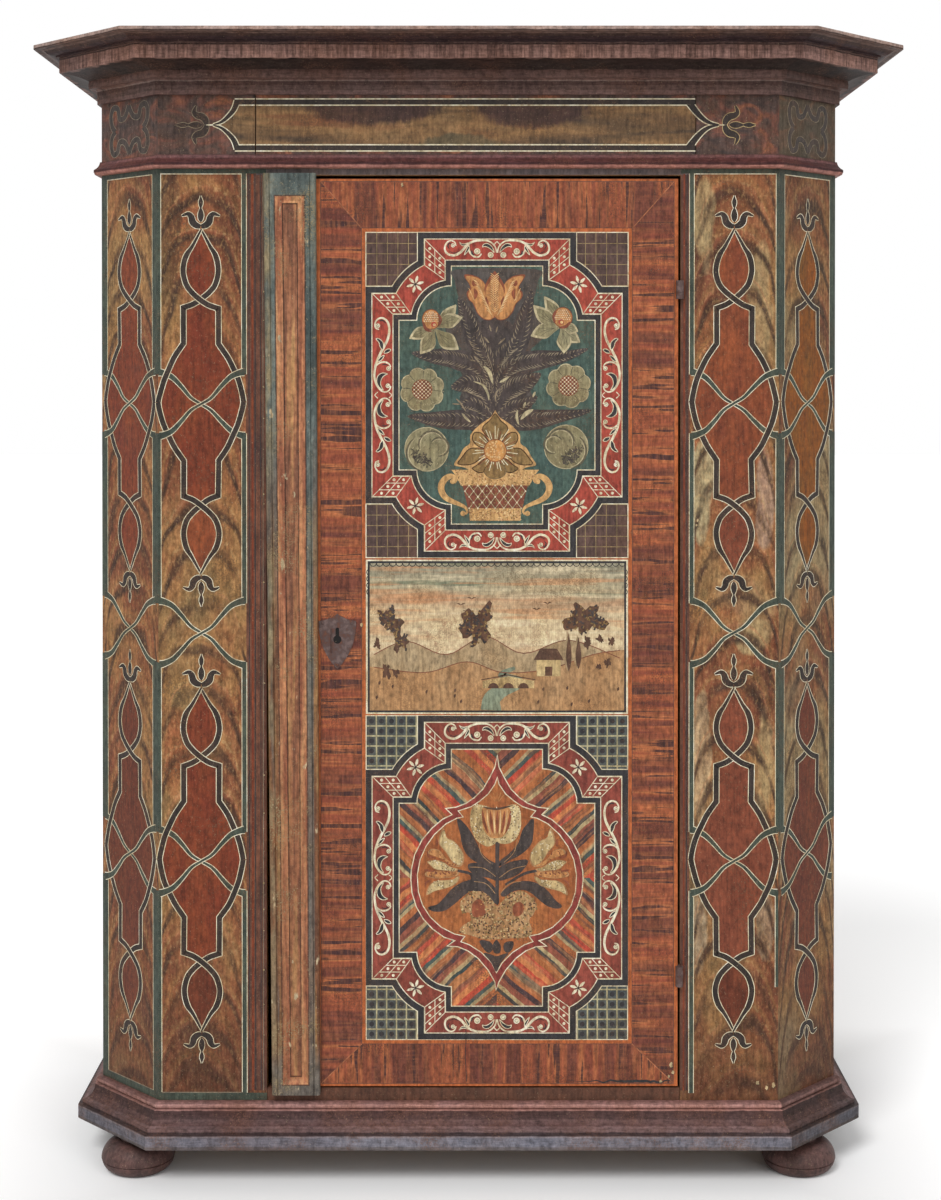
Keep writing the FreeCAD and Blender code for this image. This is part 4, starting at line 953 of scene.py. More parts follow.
def frieze(case):
    """The long panel over the door with a bracket and a lily at each end, and the cants' strapwork."""
    brush = case.at((0.0, FRIEZE_MIDDLE))
    left, right = SEAM_LEFT + SEAM_HALF, SEAM_RIGHT - SEAM_HALF
    beyond = SEAM_LEFT - SEAM_HALF
    inner = FRIEZE_REACH - 4.0
    brush.rect("frieze_field", left, right, -inner, inner, 1)
    tail = smooth(BRACKET_LEFT)
    tail = tail + [(u, -v) for u, v in tail[::-1]]
    brush.fill("frieze_field", [(beyond, inner)] + tail + [(beyond, -inner)], 1)
    for sign in (-1.0, 1.0):
        level = sign * FRIEZE_REACH
        for start, end in ((-388.0, beyond), (left, right)):
            brush.banded("dark_band", [(start, level), (end, level)], FRIEZE_BAND, 3, 2.0)
        for bracket, widest in ((BRACKET_LEFT, 8.6), (BRACKET_RIGHT, 10.5)):
            path = smooth([(u, sign * v) for u, v in bracket])
            brush.banded("dark_band", path, lambda t, w=widest: 0.8 + w * (1.0 - t) ** 0.7, 3, 1.6)
    for point, sign, line in ((-424.0, -1.0, "hatch"), (415.0, 1.0, "tan")):
        brush.stroke("cream", [(point, 0.0), (point + 12.0 * sign, 0.0)], 2.2, 3)
        fleur(brush, (point + 10.0 * sign, 0.0), 1.0, -90.0 * sign, 5, line)
    quarter = smooth(CANT_LOBE, 6)
    for face, line in ((CANT_LEFT, "faint"), (CANT_RIGHT, "hatch")):
        for flip_u in (False, True):
            for flip_v in (False, True):
                lobe = shifted(quarter, CANT_WIDTH / 2.0, FRIEZE_MIDDLE, flip_u, flip_v)
                case.on(face).banded("ghost", hand(lobe, 1.5, 30.0), 9.0, 2, 1.0, line)


# ---------------------------------------------------------------- door
PICTURE_MIDDLE = 47.4               # X of the middle of the door's painted fields
PICTURE_HALF = 218.5                # half the width of the fields with their frames
UPPER_FIELD = (PICTURE_MIDDLE, 1306.5)   # the middle of each cartouche, on the door
LOWER_FIELD = (PICTURE_MIDDLE, 503.0)
FIELD_HALF_HEIGHT = 271.0           # half the height of a cartouche with its frame
EDGE_STRIP = 6.5                    # orange line along the door's edges and round the fields
VENEER_LEFT = -245.5                # left edge of the veneer border, beside the closing strip
FRAME_EDGE = 1.6                    # cream edge round a cartouche's frame
FRAME_STEPS = (58.0, 56.5, 46.5, 45.0, 11.5, 10.0, 1.6, 0.0)
# the stepped field from its middle: half its width and height, the half width of its neck, the height
# of its shoulder, and the radius of the lobe between them
WIDE, TALL, NECK, SHOULDER, LOBE = 162.0, 213.5, 75.0, 123.5, 57.5
QUARTERS = ((-1.0, -1.0), (-1.0, 1.0), (1.0, -1.0), (1.0, 1.0))


def cartouche(offset):
    """Outline of the stepped cartouche, grown by an offset, round its own middle."""
    reach = LOBE + offset
    start = math.degrees(math.acos(min(1.0, offset / reach)))
    end = math.degrees(math.asin(min(1.0, offset / reach)))
    quarter = [(NECK + offset, TALL + offset)] + arc((NECK, SHOULDER), reach, start, end, 10)
    quarter = quarter + [(WIDE + offset, SHOULDER + offset)]
    top = [(-u, v) for u, v in quarter[::-1]] + quarter
    return top + [(-u, -v) for u, v in top]


def border_pieces(door):
    """Imitation veneer round the door, mitred, with orange lines along its mitres."""
    outer = corners_of(VENEER_LEFT, DOOR_EDGE - 0.4 - EDGE_STRIP, DOOR_BOTTOM + 4.4, DOOR_TOP - 4.4)
    inner = corners_of(PICTURE_MIDDLE - PICTURE_HALF - EDGE_STRIP, PICTURE_MIDDLE + PICTURE_HALF + EDGE_STRIP,
                       LOWER_FIELD[1] - FIELD_HALF_HEIGHT - EDGE_STRIP,
                       UPPER_FIELD[1] + FIELD_HALF_HEIGHT + EDGE_STRIP)
    for i in range(4):
        j = (i + 1) % 4
        door.fill("bars_upright" if i % 2 else "bars_level", [outer[i], outer[j], inner[j], inner[i]], 1)
        door.stroke("ochre_line", hand([outer[i], inner[i]], 0.6), 1.6, 3)
    door.ring("lattice", inner, 0.9, 2)
    door.ring("lattice", outer, 0.9, 2)


def lattice_cell(door, corners, columns=2, rows=3, level=12):
    """A slanted patch of a frame, ruled in cream with a dot in each cell."""
    a, b, c, d = corners

    def place(s, t):
        return tuple((1 - s) * ((1 - t) * a[k] + t * d[k]) + s * ((1 - t) * b[k] + t * c[k]) for k in (0, 1))

    for i in range(columns + 1):
        door.stroke("cream", [place(i / columns, 0.0), place(i / columns, 1.0)], 1.3, level)
    for j in range(rows + 1):
        door.stroke("cream", [place(0.0, j / rows), place(1.0, j / rows)], 1.3, level)
    for i in range(columns):
        for j in range(rows):
            door.spot("cream", place((i + 0.5) / columns, (j + 0.5) / rows), 2.5, level)


def star_flower(brush, size, turn, level=12):
    """Six narrow cream petals round a dark eye."""
    petal_outline = [(0.0, 1.5), (2.2, 6.5), (1.6, 11.0), (0.0, 13.5), (-1.6, 11.0), (-2.2, 6.5)]
    for i in range(6):
        brush.fill("cream", shifted(petal_outline, size=size, turn=turn + 60.0 * i), level)
        ray = shifted([(0.0, 0.0), (0.0, 5.0)], size=size, turn=turn + 30.0 + 60.0 * i)
        brush.stroke("black", ray, 1.0, level + 1)
    brush.spot("black", (0.0, 0.0), 1.6 * size, level + 1)


def cartouche_frame(door, middle, grid, ground, band, field, pitch, thickness, dotted):
    """The stepped frame: lattice corners, dark and red bands with cream lines between."""
    brush = door.at(middle)
    half_wide, half_tall = PICTURE_HALF - FRAME_EDGE, FIELD_HALF_HEIGHT - FRAME_EDGE
    brush.rect("cream", -PICTURE_HALF, PICTURE_HALF, -FIELD_HALF_HEIGHT, FIELD_HALF_HEIGHT, 2)
    brush.rect(ground, -half_wide, half_wide, -half_tall, half_tall, 3)
    for side, end in QUARTERS:
        u0, v0 = middle[0] + side * half_wide, middle[1] + end * half_tall
        for i in range(1, 6):
            u, v = u0 - side * pitch * i, v0 - end * pitch * i
            door.stroke(grid, hand([(u, v0), (u, v0 - end * 92.0)], 0.8), thickness, 4)
            door.stroke(grid, hand([(u0, v), (u0 - side * 88.0, v)], 0.8), thickness, 4)
            if dotted:
                for j in range(1, 6):
                    dot = (u0 - side * pitch * (i - 0.5), v0 - end * pitch * (j - 0.5))
                    door.spot("black", dot, 4.3, 4, 8)
    colours = ("cream", "black", "cream", band, "cream", "black", "cream", field)
    for order, (offset, colour) in enumerate(zip(FRAME_STEPS, colours)):
        outline = [(clamped(u, PICTURE_HALF - 0.2), clamped(v, FIELD_HALF_HEIGHT - 0.2))
                   for u, v in cartouche(offset)]
        brush.fill(colour, outline, 5 + order)
    for side, end in QUARTERS:
        frame_corner(brush, side, end)


def frame_corner(brush, side, end):
    """Lattice patches, star and scrolls of one quarter of the red band."""
    outer, inner = FRAME_STEPS[3], FRAME_STEPS[4]
    middle_line = (outer + inner) / 2.0

    def put(points):
        return [(side * u, end * v) for u, v in points]

    rise, inner_rise = (math.sqrt((LOBE + edge) ** 2 - edge ** 2) for edge in (outer, inner))
    lattice_cell(brush, put([(NECK + outer, TALL + outer), (NECK + inner, TALL + inner),
                             (NECK + inner, SHOULDER + inner_rise), (NECK + outer, SHOULDER + rise)]))
    lattice_cell(brush, put([(WIDE + outer, SHOULDER + outer), (NECK + rise, SHOULDER + outer),
                             (NECK + inner_rise, SHOULDER + inner), (WIDE + inner, SHOULDER + inner)]))
    star = put([polar(math.radians(45.0), LOBE + middle_line, (NECK, SHOULDER))])[0]
    star_flower(brush.at(star), 1.12, 15.0 * side)
    scrolls(brush, LEVEL_SCROLL, lambda points: put([(u, TALL + middle_line + v) for u, v in points]))
    scrolls(brush, UPRIGHT_SCROLL, lambda points: put([(WIDE + middle_line + v, u) for u, v in points]))


# half of the scrollwork on a level band: distance from the middle, and outward from the band's middle line
LEVEL_SCROLL = {
    "lines": [
        ([(68.1, 6.2), (70.6, 12.4), (77.4, 14.9), (84.4, 9.9), (86.7, 0.6), (82.4, -6.8), (71.9, -9.9),
          (61.9, -5.6), (54.7, 1.5), (47.8, 9.0), (37.8, 13.9), (25.3, 15.2), (14.5, 14.2), (6.2, 8.8),
          (2.0, 1.9), (1.0, -5.3)], 2.2, 2.0, 2.2),
        ([(46.8, 7.1), (46.8, 0.9), (44.1, -6.2), (37.8, -11.5), (30.3, -12.1), (25.8, -6.8)], 2.6, 2.2, 1.0),
        ([(0.0, 13.3), (3.2, 10.2), (6.2, 6.2)], 1.6, 1.4, 0.0)],
    "balls": [((73.2, 6.8), 3.4), ((32.8, -3.1), 5.2), ((10.5, -9.0), 4.9)],
    "dark": [
        [(24.1, 4.3), (22.5, 8.4), (17.5, 10.1), (12.5, 8.4), (7.5, 3.4), (4.8, -4.6), (9.8, 0.0),
         (15.8, 4.0), (20.5, 5.0)],
        [(62.4, 12.1), (59.1, 7.4), (54.1, 6.2), (47.8, 10.8), (54.1, 9.3), (59.1, 9.9)],
        [(46.8, 5.6), (50.4, 0.9), (54.1, -8.7), (49.1, -3.7), (45.8, 1.9)]],
    "shades": [
        ([(79.0, 0.9), (81.7, 5.6), (79.0, 10.8), (76.4, 8.4)], 1.8),
        ([(41.8, -1.2), (41.4, -6.5), (37.4, -9.9)], 2.4),
        ([(79.4, -2.8), (71.1, -6.2), (64.4, -2.8)], 0.9)]}
UPRIGHT_SCROLL = {
    "lines": [
        ([(109.2, 5.7), (111.3, 11.0), (119.0, 12.2), (126.3, 7.7), (127.9, -0.4), (122.1, -8.2),
          (109.6, -11.4), (95.1, -9.4), (82.6, -3.7), (70.1, 2.9), (57.6, 8.6), (45.1, 12.2), (30.6, 13.5),
          (18.1, 10.2), (8.1, 2.9), (5.2, -4.5), (8.1, -11.0), (14.8, -13.9)], 2.2, 2.2, 2.4),
        ([(46.8, 12.2), (53.0, 5.7), (55.1, -2.9), (52.2, -10.6), (46.8, -13.9)], 2.2, 1.8, 1.0),
        ([(5.2, 7.7), (2.3, 11.0), (-0.2, 13.0)], 1.6, 1.4, 0.0),
        ([(4.4, -10.6), (2.3, -13.9), (0.0, -15.1)], 1.4, 1.2, 0.0)],
    "balls": [((115.4, 7.7), 3.8), ((44.3, -10.2), 3.8), ((15.6, -9.0), 3.8)],
    "dark": [
        [(35.2, -8.2), (36.8, 0.0), (31.8, 7.7), (22.3, 9.4), (13.5, 5.7), (8.5, -1.2), (17.3, 2.9),
         (26.8, 1.6), (32.7, -3.3)],
        [(93.4, 10.6), (93.8, 5.7), (86.7, -1.2), (75.5, -0.8), (79.7, 3.7), (87.6, 6.1)],
        [(75.5, -13.9), (76.8, -9.4), (73.8, -4.1), (69.7, -2.9), (70.9, -9.8)],
        [(65.9, -2.9), (63.0, 3.7), (55.5, 8.2), (58.4, 1.6)]],
    "shades": [
        ([(122.9, 5.7), (124.2, -0.4), (118.8, -5.7)], 1.6),
        ([(49.7, 1.6), (51.4, -4.1), (48.9, -9.4)], 1.4)]}


def scrolls(brush, work, place):
    """Cream acanthus scrolls along half a band of one quarter."""
    for points, *widths in work["lines"]:
        brush.stroke("cream", place(smooth(points, 4)), swelling(*widths), 12)
    for centre, radius in work["balls"]:
        brush.spot("cream", place([centre])[0], radius, 12, 14)
        brush.stroke("petal", place(arc(centre, 0.55 * radius, 0.0, 300.0, 8)), 0.8, 13)
    for outline in work["dark"]:
        brush.fill("black", place(rounded(outline)), 13)
        brush.ring("cream", place(rounded(outline)), 1.2, 14)
    for points, thickness in work["shades"]:
        brush.stroke("black", place(smooth(points, 4)), blade(thickness), 13)


# ---------------------------------------------------------------- flowers
PALE_PETAL = ("petal_rim", "petal", "petal_dark")
HATCH_PITCH = 4.4                   # from one pair of a leaf's light strokes to the next
CORE_PITCH = 4.6                    # from one line of a rosette's lattice to the next


def petal(brush, base, tip, width, bend, colours, level, fullest=0.55):
    """A rimmed petal with fine ribs."""
    rim, body, rib = colours
    line = bowed(base, tip, bend)
    brush.stroke(rim, line, blade(width, fullest, 1.2), level)
    brush.stroke(body, bowed(line[0], line[-2], bend), blade(width - 2.6, fullest, 0.3), level + 1)
    run = width / math.dist(base, tip)
    for side in (-0.24, 0.0, 0.24):
        end = (line[9][0] - side * (tip[1] - base[1]) * run, line[9][1] + side * (tip[0] - base[0]) * run)
        brush.stroke(rib, bowed(line[2], end, bend), 0.7, level + 2)


def feather(door, path, width, level, seed):
    """A dark leaf hatched with short light strokes on both sides of its rib."""
    spread = blade(width, 0.45, 0.8)
    door.stroke("leaf", path, spread, level)
    run, last = 0.0, len(path) - 1
    for i in range(1, last):
        run += math.dist(path[i], path[i - 1])
        if run < HATCH_PITCH:
            continue
        run = 0.0
        (u, v), ahead = path[i], path[i + 1]
        length = math.dist((u, v), ahead)
        du, dv = (ahead[0] - u) / length, (ahead[1] - v) / length
        half = 0.5 * spread(i / last)
        for side in (-1.0, 1.0):
            lean = half * (0.5 + 0.3 * noise.noise(Vector((u * 0.3, v * 0.3, seed))))
            near, far = (side * half * share for share in (0.30, 0.68))
            hatch = bowed((u - dv * near, v + du * near),
                          (u - dv * far + du * lean, v + du * far + dv * lean), 0.15 * side, 5)
            door.stroke("hatch", hatch, blade(1.1, 0.5, 0.25), level + 1)


def rosette(brush, radius, level, seed):
    """A round flower of eight lobes with a ruled and dotted heart."""
    def lobed(size, dip):
        angles = [math.radians(5.0 * i) for i in range(72)]
        return [polar(a, size * (1.0 - dip * (1.0 - abs(math.sin(4.0 * a + seed)) ** 0.6))) for a in angles]

    brush.fill("petal_rim", lobed(radius, 0.16), level)
    brush.fill("petal", lobed(radius - 1.8, 0.15), level + 1)
    for i in range(8):
        angle = math.pi / 4.0 * i - seed / 4.0
        brush.stroke("petal_dark", [polar(angle, 0.5 * radius), polar(angle, 0.84 * radius)], 1.2, level + 2)
    for i in range(56):
        a, reach = 2.4 * i, radius * (0.5 + 0.4 * (i % 7) / 6.0)
        brush.stroke("petal_rim" if i % 3 else "petal_dark", [polar(a, reach), polar(a, reach + 2.6)], 0.7,
                     level + 2)
    core = 0.46 * radius
    brush.spot("core", (0.0, 0.0), core, level + 2, 20)
    reach = int(core / CORE_PITCH) + 1
    for i in range(-reach, reach + 1):
        for j in range(-reach, reach + 1):
            u, v = CORE_PITCH * (i + j) * 0.707, CORE_PITCH * (i - j) * 0.707
            if math.hypot(u, v) < core - 1.0:
                brush.spot("cream", (u, v), 1.25, level + 4, 6)
    for i in range(-reach + 1, reach):
        half = math.sqrt(max(core * core - (i * CORE_PITCH) ** 2, 0.0)) - 0.6
        for turn in (45.0, 135.0):
            line = shifted([(-half, i * CORE_PITCH), (half, i * CORE_PITCH)], turn=turn)
            brush.stroke("tulip_rib", line, 0.55, level + 3)


# the bouquet's parts from the middle of the upper field
LEAVES = [
    ([(-5.4, -19.6), (-15.0, 25.0), (-34.1, 48.4), (-72.3, 60.0), (-112.6, 65.3), (-142.3, 70.6)], 27.0),
    ([(-5.4, -4.7), (-15.0, 42.0), (-29.8, 80.2), (-42.5, 114.1), (-55.3, 141.7), (-64.8, 163.0)], 26.0),
    ([(-5.4, 42.0), (-12.8, 59.0), (-23.4, 75.9), (-40.4, 97.2)], 25.0),
    ([(-5.4, -34.4), (-12.8, -4.7), (-29.8, 12.3), (-51.0, 18.6), (-76.5, 12.3)], 36.0),
    ([(-5.4, -40.8), (-25.6, -21.7), (-42.5, -15.3), (-61.6, -17.4)], 24.0),
    ([(-5.4, -49.3), (-34.1, -42.9), (-68.0, -40.8), (-108.3, -39.7), (-148.7, -35.5)], 25.0),
    ([(-3.3, -19.6), (6.3, 25.0), (25.4, 46.2), (63.6, 56.8), (103.9, 63.2), (152.7, 77.0)], 28.0),
    ([(-3.3, -4.7), (12.6, 42.0), (29.6, 75.9), (42.4, 109.9), (50.8, 143.9), (57.2, 175.7)], 27.0),
    ([(-3.3, 42.0), (4.1, 61.1), (16.9, 75.9), (36.0, 97.2)], 26.0),
    ([(-3.3, -34.4), (8.4, -4.7), (25.4, 10.1), (46.6, 20.8), (74.2, 35.6)], 36.0),
    ([(-3.3, -40.8), (19.0, -23.8), (42.4, -15.3), (65.7, -2.6)], 22.0),
    ([(-3.3, -49.3), (25.4, -42.9), (57.2, -40.8), (97.5, -36.5), (157.0, -24.9)], 26.0)]
PLUME = [(-66.0, 209.0), (66.0, 209.0), (68.0, 190.0), (64.0, 170.0), (58.0, 150.0), (66.0, 130.0),
         (84.0, 112.0), (74.0, 92.0), (56.0, 74.0), (62.0, 50.0), (52.0, 20.0), (60.0, -10.0), (40.0, -40.0),
         (-44.0, -40.0), (-62.0, -10.0), (-54.0, 20.0), (-64.0, 50.0), (-58.0, 74.0), (-76.0, 92.0),
         (-86.0, 112.0), (-68.0, 130.0), (-60.0, 150.0), (-66.0, 170.0), (-70.0, 190.0)]
LEAF_MASS = [(-25.6, 122.6), (-4.3, 126.9), (19.0, 122.6), (29.6, 105.7), (25.4, 71.7), (21.1, 42.0),
             (29.6, 12.3), (25.4, -21.7), (36.0, -59.9), (-42.5, -59.9), (-34.1, -21.7), (-40.4, 12.3),
             (-29.8, 42.0), (-34.1, 71.7), (-36.2, 105.7)]
SPRIGS = [
    ([(-12.8, 116.3), (-9.6, 105.7)], 2.2), ([(1.0, 114.1), (-1.8, 103.5)], 2.2),
    ([(-22.4, 97.2), (-12.8, 86.6)], 2.6), ([(13.7, 95.0), (2.0, 84.4)], 2.6),
    ([(-22.4, 48.4), (-12.8, 37.7), (-6.9, 18.6)], 6.0),
    ([(-39.4, 22.9), (-23.4, 16.5), (-15.0, 1.7), (-13.5, -9.0)], 3.4), ([(20.1, 30.3), (4.1, 20.8)], 4.0),
    ([(4.1, 11.2), (-2.2, 1.7), (-2.6, -11.1)], 2.6), ([(34.9, 78.1), (23.2, 69.6)], 2.6),
    ([(19.0, 63.2), (6.3, 48.4)], 3.0), ([(-38.3, 65.3), (-29.8, 54.7)], 2.6),
    ([(-68.0, -5.8), (-60.6, -13.2), (-51.0, -28.1)], 2.4), ([(-74.4, -14.3), (-61.6, -15.3)], 2.0),
    ([(-58.5, -30.2), (-51.0, -38.7), (-43.6, -45.0)], 3.4),
    ([(33.9, -24.9), (32.8, -36.5), (36.0, -49.3)], 4.2),
    ([(60.4, -23.8), (48.7, -30.2), (39.2, -40.8)], 6.5), ([(47.7, -11.1), (43.4, -21.7)], 3.2),
    ([(63.6, 5.9), (59.3, -3.6)], 3.6), ([(55.1, -11.1), (47.7, -17.4)], 2.2),
    ([(-45.7, 59.0), (-36.2, 56.8)], 2.0)]
DAFFODIL_LEFT = {
    "base": (-103.7, 111.0), "trumpet": (-109.4, 125.8), "half_axes": (15.4, 17.0), "heart": (-104.9, 117.3),
    "petals": [((-68.0, 150.2), 17.0), ((-57.4, 129.0), 19.0), ((-63.8, 75.9), 21.5), ((-127.4, 68.5), 19.5),
               ((-145.5, 94.0), 16.0)],
    "shades": [[(-123.2, 122.6), (-117.9, 109.9), (-108.3, 105.7)],
               [(-97.7, 135.4), (-93.9, 124.8), (-97.7, 114.1)]]}
DAFFODIL_RIGHT = {
    "base": (106.4, 113.1), "trumpet": (109.2, 129.0), "half_axes": (16.2, 17.2), "heart": (106.4, 121.6),
    "petals": [((78.4, 164.0), 17.0), ((60.4, 149.2), 19.0), ((56.1, 98.2), 20.0), ((111.3, 69.6), 19.0),
               ((137.9, 87.6), 16.0), ((134.7, 105.7), 14.0)],
    "shades": [[(98.6, 141.7), (94.3, 131.1), (96.5, 118.4)],
               [(102.8, 112.0), (114.5, 114.1), (121.9, 122.6)]]}


def daffodil(brush, shape, level):
    """Pale petals behind a dotted orange trumpet."""
    for order, (tip, width) in enumerate(shape["petals"]):
        petal(brush, shape["base"], tip, 1.25 * width, 0.07 if order % 2 else -0.05, PALE_PETAL,
              level + 2 * (order % 2), 0.58)
    mouth, (wide, tall) = shape["trumpet"], shape["half_axes"]
    for order, (colour, inset) in enumerate((("tulip_dark", 0.0), ("tulip", 1.3))):
        ellipse = [polar(math.radians(10.0 * i), wide - inset, mouth, tall - inset) for i in range(36)]
        brush.fill(colour, ellipse, level + 5 + order)
    for line in shape["shades"]:
        brush.stroke("core", smooth(line, 5), blade(5.0), level + 7)
    heart = shape["heart"]
    brush.spot("red", heart, 4.6, level + 7, 14)
    brush.spot("tulip_rib", (heart[0] + 0.8, heart[1] - 0.6), 2.6, level + 8, 10)
    for i in range(-5, 6):
        for j in range(-5, 6):
            u, v = 3.2 * i + 1.6 * (j % 2), 3.0 * j
            if (u / (wide - 3.0)) ** 2 + (v / (tall - 3.0)) ** 2 < 1.0 and v > -5.0:
                brush.spot("cream", (mouth[0] + u, mouth[1] + v), 0.9, level + 7, 6)


def rose(brush, centre, side, level):
    """A round pale rose: folded petals over a dark hatched heart."""
    whole, folded = brush.at(centre), brush.at(centre, side < 0)
    whole.spot("petal_rim", (0.0, 0.0), 37.0, level, 40)
    whole.spot("petal", (0.0, 0.0), 35.6, level + 1, 40)
    for fold, reach, start, end in (((9.0, 8.0), 22.0, 20.0, 200.0), ((21.0, 4.0), 15.5, -100.0, 150.0),
                                    ((-3.0, -6.0), 30.0, 130.0, 260.0)):
        folded.stroke("petal_dark", arc(fold, reach, start, end, 18), blade(3.0, 0.5, 0.8), level + 2)
        folded.stroke("petal_rim", arc(fold, reach - 2.4, start, end, 18), blade(1.5, 0.5, 0.5), level + 3)
    hollow = rounded([(-27.0, 4.0), (-14.0, -4.0), (-2.0, -9.0), (8.0, -20.0), (4.0, -29.0), (-8.0, -27.0),
                      (-20.0, -17.0), (-27.0, -6.0)])
    folded.speckle("petal_dark", hollow, 120, 4.6, level + 2, 0.2 + side)
    folded.speckle("leaf", hollow, 90, 2.8, level + 3, 0.6 + side)
    for i in range(40):
        reach = 35.0 * math.sqrt((i + 0.5) / 40.0)
        if reach < 32.0:
            u, v = polar(2.4 * i, reach)
            whole.stroke("petal_rim" if i % 3 else "petal_dark", [(u, v), (u + 2.2 * side, v + 3.2)], 0.8,
                         level + 4)


TULIP_FLARE = [(0.0, 0.0), (8.0, -4.5), (19.0, -2.5), (29.5, 8.0), (35.5, 22.0), (44.0, 31.0), (46.5, 41.0),
               (40.5, 51.0), (51.0, 70.0), (36.0, 70.0), (22.0, 63.0), (12.0, 49.0), (6.0, 36.0)]
TULIP_SHADES = ([(26.0, 58.0), (34.0, 55.0), (36.0, 62.0)], [(33.0, 30.0), (31.0, 40.0), (34.0, 48.0)],
                [(9.0, 44.0), (13.0, 30.0), (12.0, 14.0)])


def tulip(brush, level):
    """A striped tulip with two petals that flare outward."""
    for flip in (False, True):
        half = brush.at((0.0, 0.0), flip)
        half.fill("tulip_dark", smooth(TULIP_FLARE, 4), level)
        half.fill("tulip", smooth([(0.93 * u + 0.8, 0.95 * v + 1.0) for u, v in TULIP_FLARE], 4), level + 1)
        for shade in TULIP_SHADES:
            half.stroke("tulip_dark", smooth(shade, 4), blade(6.0), level + 2)
        for i in range(11):
            u, v = 4.0 + 2.2 * i, 3.0 + 5.0 * i
            half.stroke("tulip_rib", bowed((u, v), (u + 10.0, v + 10.0), 0.12), blade(1.5), level + 3)
        for i in range(6):
            u, v = 33.0 + 1.5 * i, 28.0 + 3.4 * i
            half.stroke("tulip_rib", [(u, v), (u + 3.0, v + 3.4)], 0.9, level + 3)
    petal(brush, (0.0, 2.0), (0.0, 77.0), 33.0, 0.0, ("tulip_dark", "tulip", "tulip_dark"), level + 3, 0.62)
    for i in range(17):
        v = 9.0 + 3.7 * i
        for sign in (-1.0, 1.0):
            brush.stroke("tulip_rib", [(0.0, v), (sign * 6.5, v + 5.5)], 1.1, level + 6)


def bouquet(door):
    """Flowers in a two-handled basket vase on the upper field."""
    brush = door.at(UPPER_FIELD)
    top = 14
    brush.fill("smoke", rounded(PLUME), top - 1)
    brush.fill("leaf", rounded(LEAF_MASS), top)
    for order, (path, width) in enumerate(LEAVES):
        feather(door, hand(brush.put(smooth(path, 9)), 2.0, 30.0, order), 1.3 * width, top + 1, order)
    brush.stroke("leaf", [(-3.9, -40.0), (-3.9, 130.0)], 3.2, top + 3)
    for path, width in SPRIGS:
        brush.stroke("petal_rim" if width > 3.1 else "hatch", smooth(path, 5), blade(width), top + 3)
    for shape in (DAFFODIL_LEFT, DAFFODIL_RIGHT):
        daffodil(brush, shape, top + 4)
    for centre, seed in (((-124.3, 9.1), 0.3), ((118.8, 15.5), 0.8)):
        rosette(brush.at(centre), 37.5, top + 4, seed)
    for centre, side in (((-117.0, -90.0), 1.0), ((115.0, -86.0), -1.0)):
        rose(brush, centre, side, top + 4)
    tulip(brush.at((-3.9, 129.0)), top + 4)
    vase(brush.at((-3.0, 0.0)), top + 4)


# the vase and its flower, from the vase's middle line; the handle and the dome are right halves
HANDLE = [(67.5, -146.0), (64.8, -141.2), (67.5, -136.4), (74.0, -134.6), (82.4, -138.6), (89.0, -148.0),
          (89.4, -158.2), (83.9, -168.5), (73.5, -175.6), (60.3, -181.0), (49.9, -186.5), (46.5, -193.1),
          (49.3, -198.0)]
VASE_RIM = [(-73.0, -124.0), (73.0, -124.0), (66.0, -133.0), (57.0, -150.0), (-57.0, -150.0), (-66.0, -133.0)]
VASE_BODY = [(-54.0, -150.0), (54.0, -150.0), (45.0, -189.0), (-45.0, -189.0)]
DOME = [(0.0, -25.0), (7.0, -36.0), (20.0, -45.0), (31.0, -54.0), (41.0, -66.0), (42.0, -80.0), (52.0, -88.0),
        (60.0, -102.0), (68.0, -116.0), (52.0, -120.0), (40.0, -126.0), (28.0, -128.0), (16.0, -137.0),
        (0.0, -141.0)]
HEART = (0.0, -92.0)
DOME_LOBES = (                      # whether it lies on the middle line, colour of its rim, outline
    (True, "tree", [(0.0, -31.0), (9.0, -42.0), (20.0, -52.0), (19.0, -62.0), (9.0, -72.0), (0.0, -76.0),
                    (-9.0, -72.0), (-19.0, -62.0), (-20.0, -52.0), (-9.0, -42.0)]),
    (False, "tree", [(12.0, -76.0), (22.0, -64.0), (34.0, -62.0), (38.0, -72.0), (32.0, -82.0),
                     (18.0, -88.0)]),
    (False, "tree", [(16.0, -92.0), (30.0, -88.0), (44.0, -90.0), (56.0, -104.0), (62.0, -114.0),
                     (46.0, -116.0), (30.0, -110.0)]),
    (False, "tree", [(8.0, -108.0), (18.0, -106.0), (30.0, -116.0), (38.0, -122.0), (26.0, -129.0),
                     (14.0, -124.0)]),
    (True, "petal_dark", [(0.0, -108.0), (8.0, -114.0), (18.0, -124.0), (14.0, -134.0), (0.0, -139.0),
                          (-14.0, -134.0), (-18.0, -124.0), (-8.0, -114.0)]))
LATTICE_ROWS, LATTICE_PITCH, LATTICE_DROP = 5, 14.4, 9.5


def basket_lattice(brush, level):
    """Crossing lines with a dot at each crossing, inside the vase's body."""
    half_top, half_foot = VASE_BODY[1][0], VASE_BODY[2][0]

    def room(row):
        return half_top - 1.0 - (half_top - half_foot) * row / LATTICE_ROWS

    for row in range(LATTICE_ROWS):
        v = VASE_BODY[0][1] - LATTICE_DROP * row
        for i in range(-4, 5):
            u = LATTICE_PITCH * (i + 0.5 * (row % 2))
            if abs(u) > room(row):
                continue
            brush.spot("cream", (u, v), 1.5, level + 1, 6)
            for ahead in (u - LATTICE_PITCH / 2.0, u + LATTICE_PITCH / 2.0):
                if row < LATTICE_ROWS - 1 and abs(ahead) < room(row + 1):
                    brush.stroke("petal_rim", [(u, v), (ahead, v - LATTICE_DROP)], 1.1, level)


